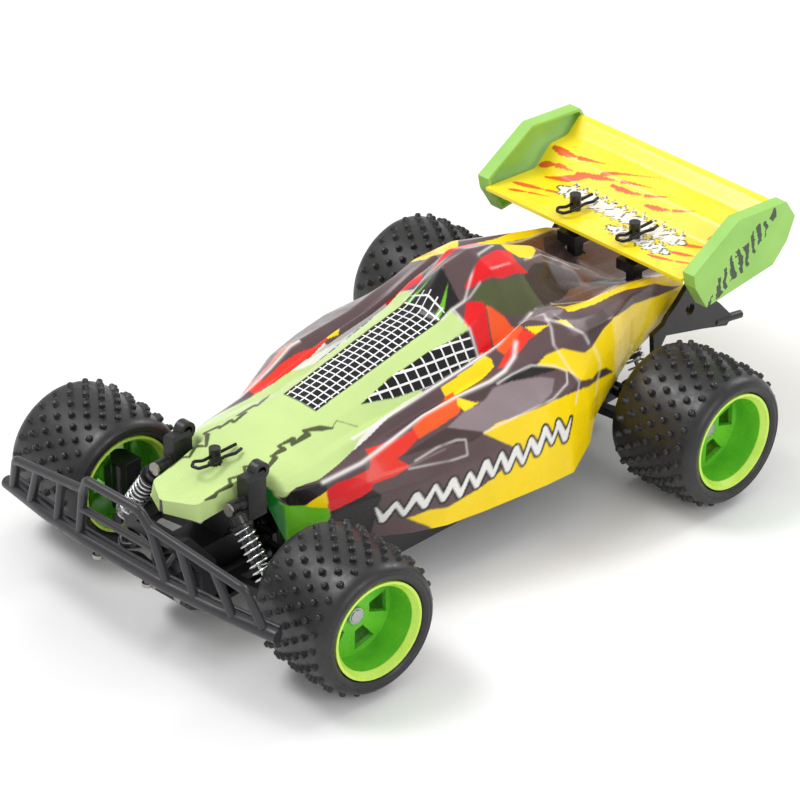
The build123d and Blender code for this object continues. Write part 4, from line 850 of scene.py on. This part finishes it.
def wing():
    p = np.array(WING, float)
    seg = np.hypot(*np.diff(p, axis=0).T)
    t = np.concatenate([[0], np.cumsum(seg)])
    u = np.linspace(0, t[-1], 130)
    top = np.stack([np.interp(u, t, p[:, 0]), np.interp(u, t, p[:, 1])], -1)
    q = top.copy()
    for _ in range(10):
        q[1:-1] += 0.25 * (q[2:] + q[:-2] - 2 * q[1:-1])
    top = q
    d = np.gradient(top, axis=0)
    d /= np.linalg.norm(d, axis=1)[:, None]
    nn = np.stack([-d[:, 1], d[:, 0]], -1)
    bot = top - nn * 1.9
    xs = np.linspace(-69.75, 69.75, 250)
    U, X = np.meshgrid(np.arange(len(u)), xs, indexing="ij")
    tv = np.stack([X, top[U, 0], top[U, 1]], -1)
    bv = np.stack([X, bot[U, 0], bot[U, 1]], -1)
    # colour: flames running back from the front edge and both tips
    sy = u[U]
    col = np.zeros(U.shape + (3,))
    col[:] = lin((255, 228, 14))[:3]
    soft = 0.5 + 0.5 * np.sin(X * 0.11 + 1.3) * np.sin(sy * 0.13)
    col = col * (1 - 0.18 * soft[..., None]) + np.array(lin((255, 240, 120))[:3]) * 0.18 * soft[..., None]
    licks = [((-66, 52), (-48, 50), (-30, 58), 5.5), ((-58, 34), (-30, 48), (0, 66), 5.0), ((-44, 44), (-14, 50), (8, 56), 3.6), ((-20, 46), (4, 46), (20, 56), 3.2),
             ((-64, 16), (-46, 22), (-30, 30), 5.0), ((-60, 8), (-52, 13), (-40, 18), 3.6), ((42, 30), (56, 36), (66, 50), 4.6), ((46, 20), (58, 24), (68, 34), 4.2),
             ((40, 8), (56, 12), (66, 22), 3.6), ((6, 44), (24, 46), (38, 54), 3.0), ((-68, 40), (-60, 45), (-46, 44), 4.5), ((52, 42), (60, 50), (67, 62), 3.0)]
    for p0, p1, p2, w in licks:
        tt = np.linspace(0, 1, 40)[:, None]
        cx = (1 - tt) ** 2 * np.array(p0) + 2 * tt * (1 - tt) * np.array(p1) + tt ** 2 * np.array(p2)
        for i in range(40):
            f_ = i / 39.0
            r_ = w * (math.sin(math.pi * min(1, f_ * 1.6 + 0.18)) if f_ < 0.5 else 1.0) * (1 - f_) ** 0.7 * 0.5
            dd = np.hypot(X - cx[i, 0], sy - cx[i, 1])
            col[dd < r_] = np.array(lin((232, 92, 30))[:3]) * (1 - f_ * 0.35) + np.array(lin((244, 150, 20))[:3]) * f_ * 0.35
    # plain pale splashes with a torn dark edge, in place of print
    for x0, x1, s0, h in ((-47, 45, 31, 5.6), (2, 47, 16.5, 4.0)):
        e1 = 1.5 * np.sin(X * 0.9) + 1.1 * np.sin(X * 2.3 + 1) + 0.7 * np.sin(X * 4.1)
        e2 = 1.5 * np.sin(X * 1.1 + 2) + 1.0 * np.sin(X * 2.7) + 0.7 * np.sin(X * 3.7 + 1)
        ends = np.clip((X - x0) / 7, 0, 1) * np.clip((x1 - X) / 7, 0, 1)
        up, dn = s0 + (h + e1) * ends, s0 - (h + e2) * ends
        ins0 = (X > x0) & (X < x1)
        col[ins0 & (sy < up + 1.2) & (sy > dn - 1.2)] = lin((34, 26, 26))[:3]
        col[ins0 & (sy < up) & (sy > dn) & (ends > 0.15)] = lin((238, 236, 230))[:3]
        for q in range(9):
            xc = x0 + 8 + (x1 - x0 - 14) * q / 8.0
            ln = np.abs((X - xc) - 0.5 * (sy - s0) * (1 if q % 2 else -0.7))
            col[ins0 & (ln < 0.55) & (np.abs(sy - s0) < h * (0.35 + 0.1 * (q % 3)))] = lin((60, 50, 50))[:3]
    k = U.size
    v = np.vstack([tv.reshape(-1, 3), bv.reshape(-1, 3)]) + [0, FA, 0]
    I = np.arange(k).reshape(U.shape)
    a, b_, c, d_ = I[:-1, :-1].ravel(), I[1:, :-1].ravel(), I[1:, 1:].ravel(), I[:-1, 1:].ravel()
    f = list(zip(a, b_, c, d_)) + list(zip(a + k, d_ + k, c + k, b_ + k))
    n0, n1 = U.shape
    for i in range(n0 - 1):
        f.append((I[i, 0], I[i + 1, 0], I[i + 1, 0] + k, I[i, 0] + k))
        f.append((I[i + 1, -1], I[i, -1], I[i, -1] + k, I[i + 1, -1] + k))
    for j in range(n1 - 1):
        f.append((I[0, j + 1], I[0, j], I[0, j] + k, I[0, j + 1] + k))
        f.append((I[-1, j], I[-1, j + 1], I[-1, j + 1] + k, I[-1, j] + k))
    kk = Nodes("wing_film")
    att_ = kk.new("ShaderNodeVertexColor", layer_name="livery")
    shade = kk.ramp(kk.noise(30, 3), [(0.3, (0.93, 0.93, 0.93, 1)), (0.7, (1.04, 1.04, 1.04, 1))])
    kk.link(kk.mix(1.0, att_.outputs["Color"], shade, "MULTIPLY"), kk.bsdf.inputs["Base Color"])
    kk.link(kk.range(kk.noise(120, 4), 0.26, 0.4), kk.bsdf.inputs["Roughness"])
    kk.bsdf.inputs["Coat Weight"].default_value = 0.4
    kk.bsdf.inputs["Coat Roughness"].default_value = 0.1
    kk.bump(kk.noise(900, 3), 0.08, 0.00005)
    o = make("wing_plane_film", v * 0.001, f, [kk.mat], "chassis", 40)
    ca = o.data.color_attributes.new("livery", "FLOAT_COLOR", "POINT")
    under = np.zeros(U.shape + (3,))
    under[:] = lin((240, 205, 20))[:3]
    full_ = np.ones((2 * k, 4))
    full_[:k, :3] = col.reshape(-1, 3)
    full_[k:, :3] = under.reshape(-1, 3)
    ca.data.foreach_set("color", full_.astype(np.float32).ravel())
    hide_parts("wing_plane")


wing()


def endplates():
    k = Nodes("endplate_lime")
    n = k.noise(30, 4)
    base = k.ramp(n, [(0.3, lin((140, 196, 84))), (0.7, lin((160, 210, 100)))])
    # slanted dark scratches on the outside face
    x, y, z = k.separate()
    yy = k.math("SUBTRACT", y, (FA + 292) * 0.001)
    zz = k.math("SUBTRACT", z, 0.105)
    along = k.math("ADD", k.math("MULTIPLY", yy, 0.80), k.math("MULTIPLY", zz, 0.60))
    across = k.math("SUBTRACT", k.math("MULTIPLY", zz, 0.80), k.math("MULTIPLY", yy, 0.60))
    wob = k.math("MULTIPLY", k.math("SUBTRACT", k.noise(120, 3), 0.5), 0.012)
    slant = k.math("FRACT", k.math("DIVIDE", k.math("ADD", k.math("ADD", along, k.math("MULTIPLY", across, -0.55)), wob), 0.0062))
    stripes = k.math("LESS_THAN", slant, 0.52)
    env = k.math("SUBTRACT", k.math("ADD", 0.0078, k.math("MULTIPLY", k.math("SUBTRACT", k.noise(95, 2), 0.5), 0.022)), k.math("MULTIPLY", k.math("ABSOLUTE", along), 0.24))
    mark = k.math("MULTIPLY", stripes, k.math("LESS_THAN", k.math("ABSOLUTE", k.math("ADD", across, 0.001)), env))
    outside = k.math("GREATER_THAN", k.math("ABSOLUTE", x), 0.0773)
    k.link(k.mix(k.math("MULTIPLY", mark, outside), base, lin((52, 70, 44))), k.bsdf.inputs["Base Color"])
    k.link(k.range(k.noise(150, 4), 0.3, 0.44), k.bsdf.inputs["Roughness"])
    k.bump(k.noise(1000, 2), 0.12, 0.00005, 0.0006)
    return k.mat


give("wing_endplates", endplates())

# ------------------------------------------------------------------ stage, lights, camera
floor_me = bpy.data.meshes.new("studio_floor")
pts, fcs = [], []
S = 6.0
prof = [(-S, 0.0)] + [(3.0 + 0.0 * i, 0.0) for i in range(1)]
floor_me.from_pydata([(-S, -S, 0), (S, -S, 0), (S, S, 0), (-S, S, 0)], [], [(0, 1, 2, 3)])
floor = bpy.data.objects.new("studio_floor", floor_me)
bpy.context.scene.collection.objects.link(floor)
kf = Nodes("studio_paper")
kf.link(kf.ramp(kf.noise(6, 3), [(0.3, (0.86, 0.86, 0.86, 1)), (0.7, (0.9, 0.9, 0.9, 1))]), kf.bsdf.inputs["Base Color"])
kf.bsdf.inputs["Roughness"].default_value = 0.95
kf.bsdf.inputs["Specular IOR Level"].default_value = 0.1
floor_me.materials.append(kf.mat)
bpy.context.scene.view_settings.view_transform = "Standard"

world = bpy.data.worlds.new("studio")
bpy.context.scene.world = world
world.use_nodes = True
world.node_tree.nodes["Background"].inputs[0].default_value = (1.0, 1.0, 1.0, 1)
world.node_tree.nodes["Background"].inputs[1].default_value = 0.75


def area(name, loc, target, size, power, sy=None):
    l = bpy.data.lights.new(name, "AREA")
    l.energy = power
    l.shape = "RECTANGLE"
    l.size = size
    l.size_y = sy or size
    o = bpy.data.objects.new(name, l)
    bpy.context.scene.collection.objects.link(o)
    o.location = loc
    o.rotation_euler = (Vector(target) - Vector(loc)).to_track_quat("-Z", "Y").to_euler()
    return o


area("key", (-0.7, -0.5, 1.5), (0, 0, 0.05), 0.7, 14)
area("fill", (1.5, -0.2, 0.9), (0, 0, 0.05), 0.7, 6)
area("rim", (0.2, 1.4, 1.1), (0, 0, 0.05), 0.6, 8)

cam = bpy.data.cameras.new("camera")
co = bpy.data.objects.new("camera", cam)
bpy.context.scene.collection.objects.link(co)
X = Vector((0.697490409, 0.716516731, -0.010531075))
Y = -Vector((0.362592724, -0.365564087, -0.857256913))
Z = -Vector((-0.618088703, 0.594109984, -0.514781198))
rot = Matrix((X, Y, Z)).transposed()
co.matrix_world = Matrix.Translation((1.54206520, -1.35636648 + FA * 0.001, 1.34619752)) @ rot.to_4x4()
cam.sensor_width = 36.0
cam.lens = 4930.2725 / 800 * 36.0
cam.clip_start, cam.clip_end = 0.1, 20
bpy.context.scene.camera = co
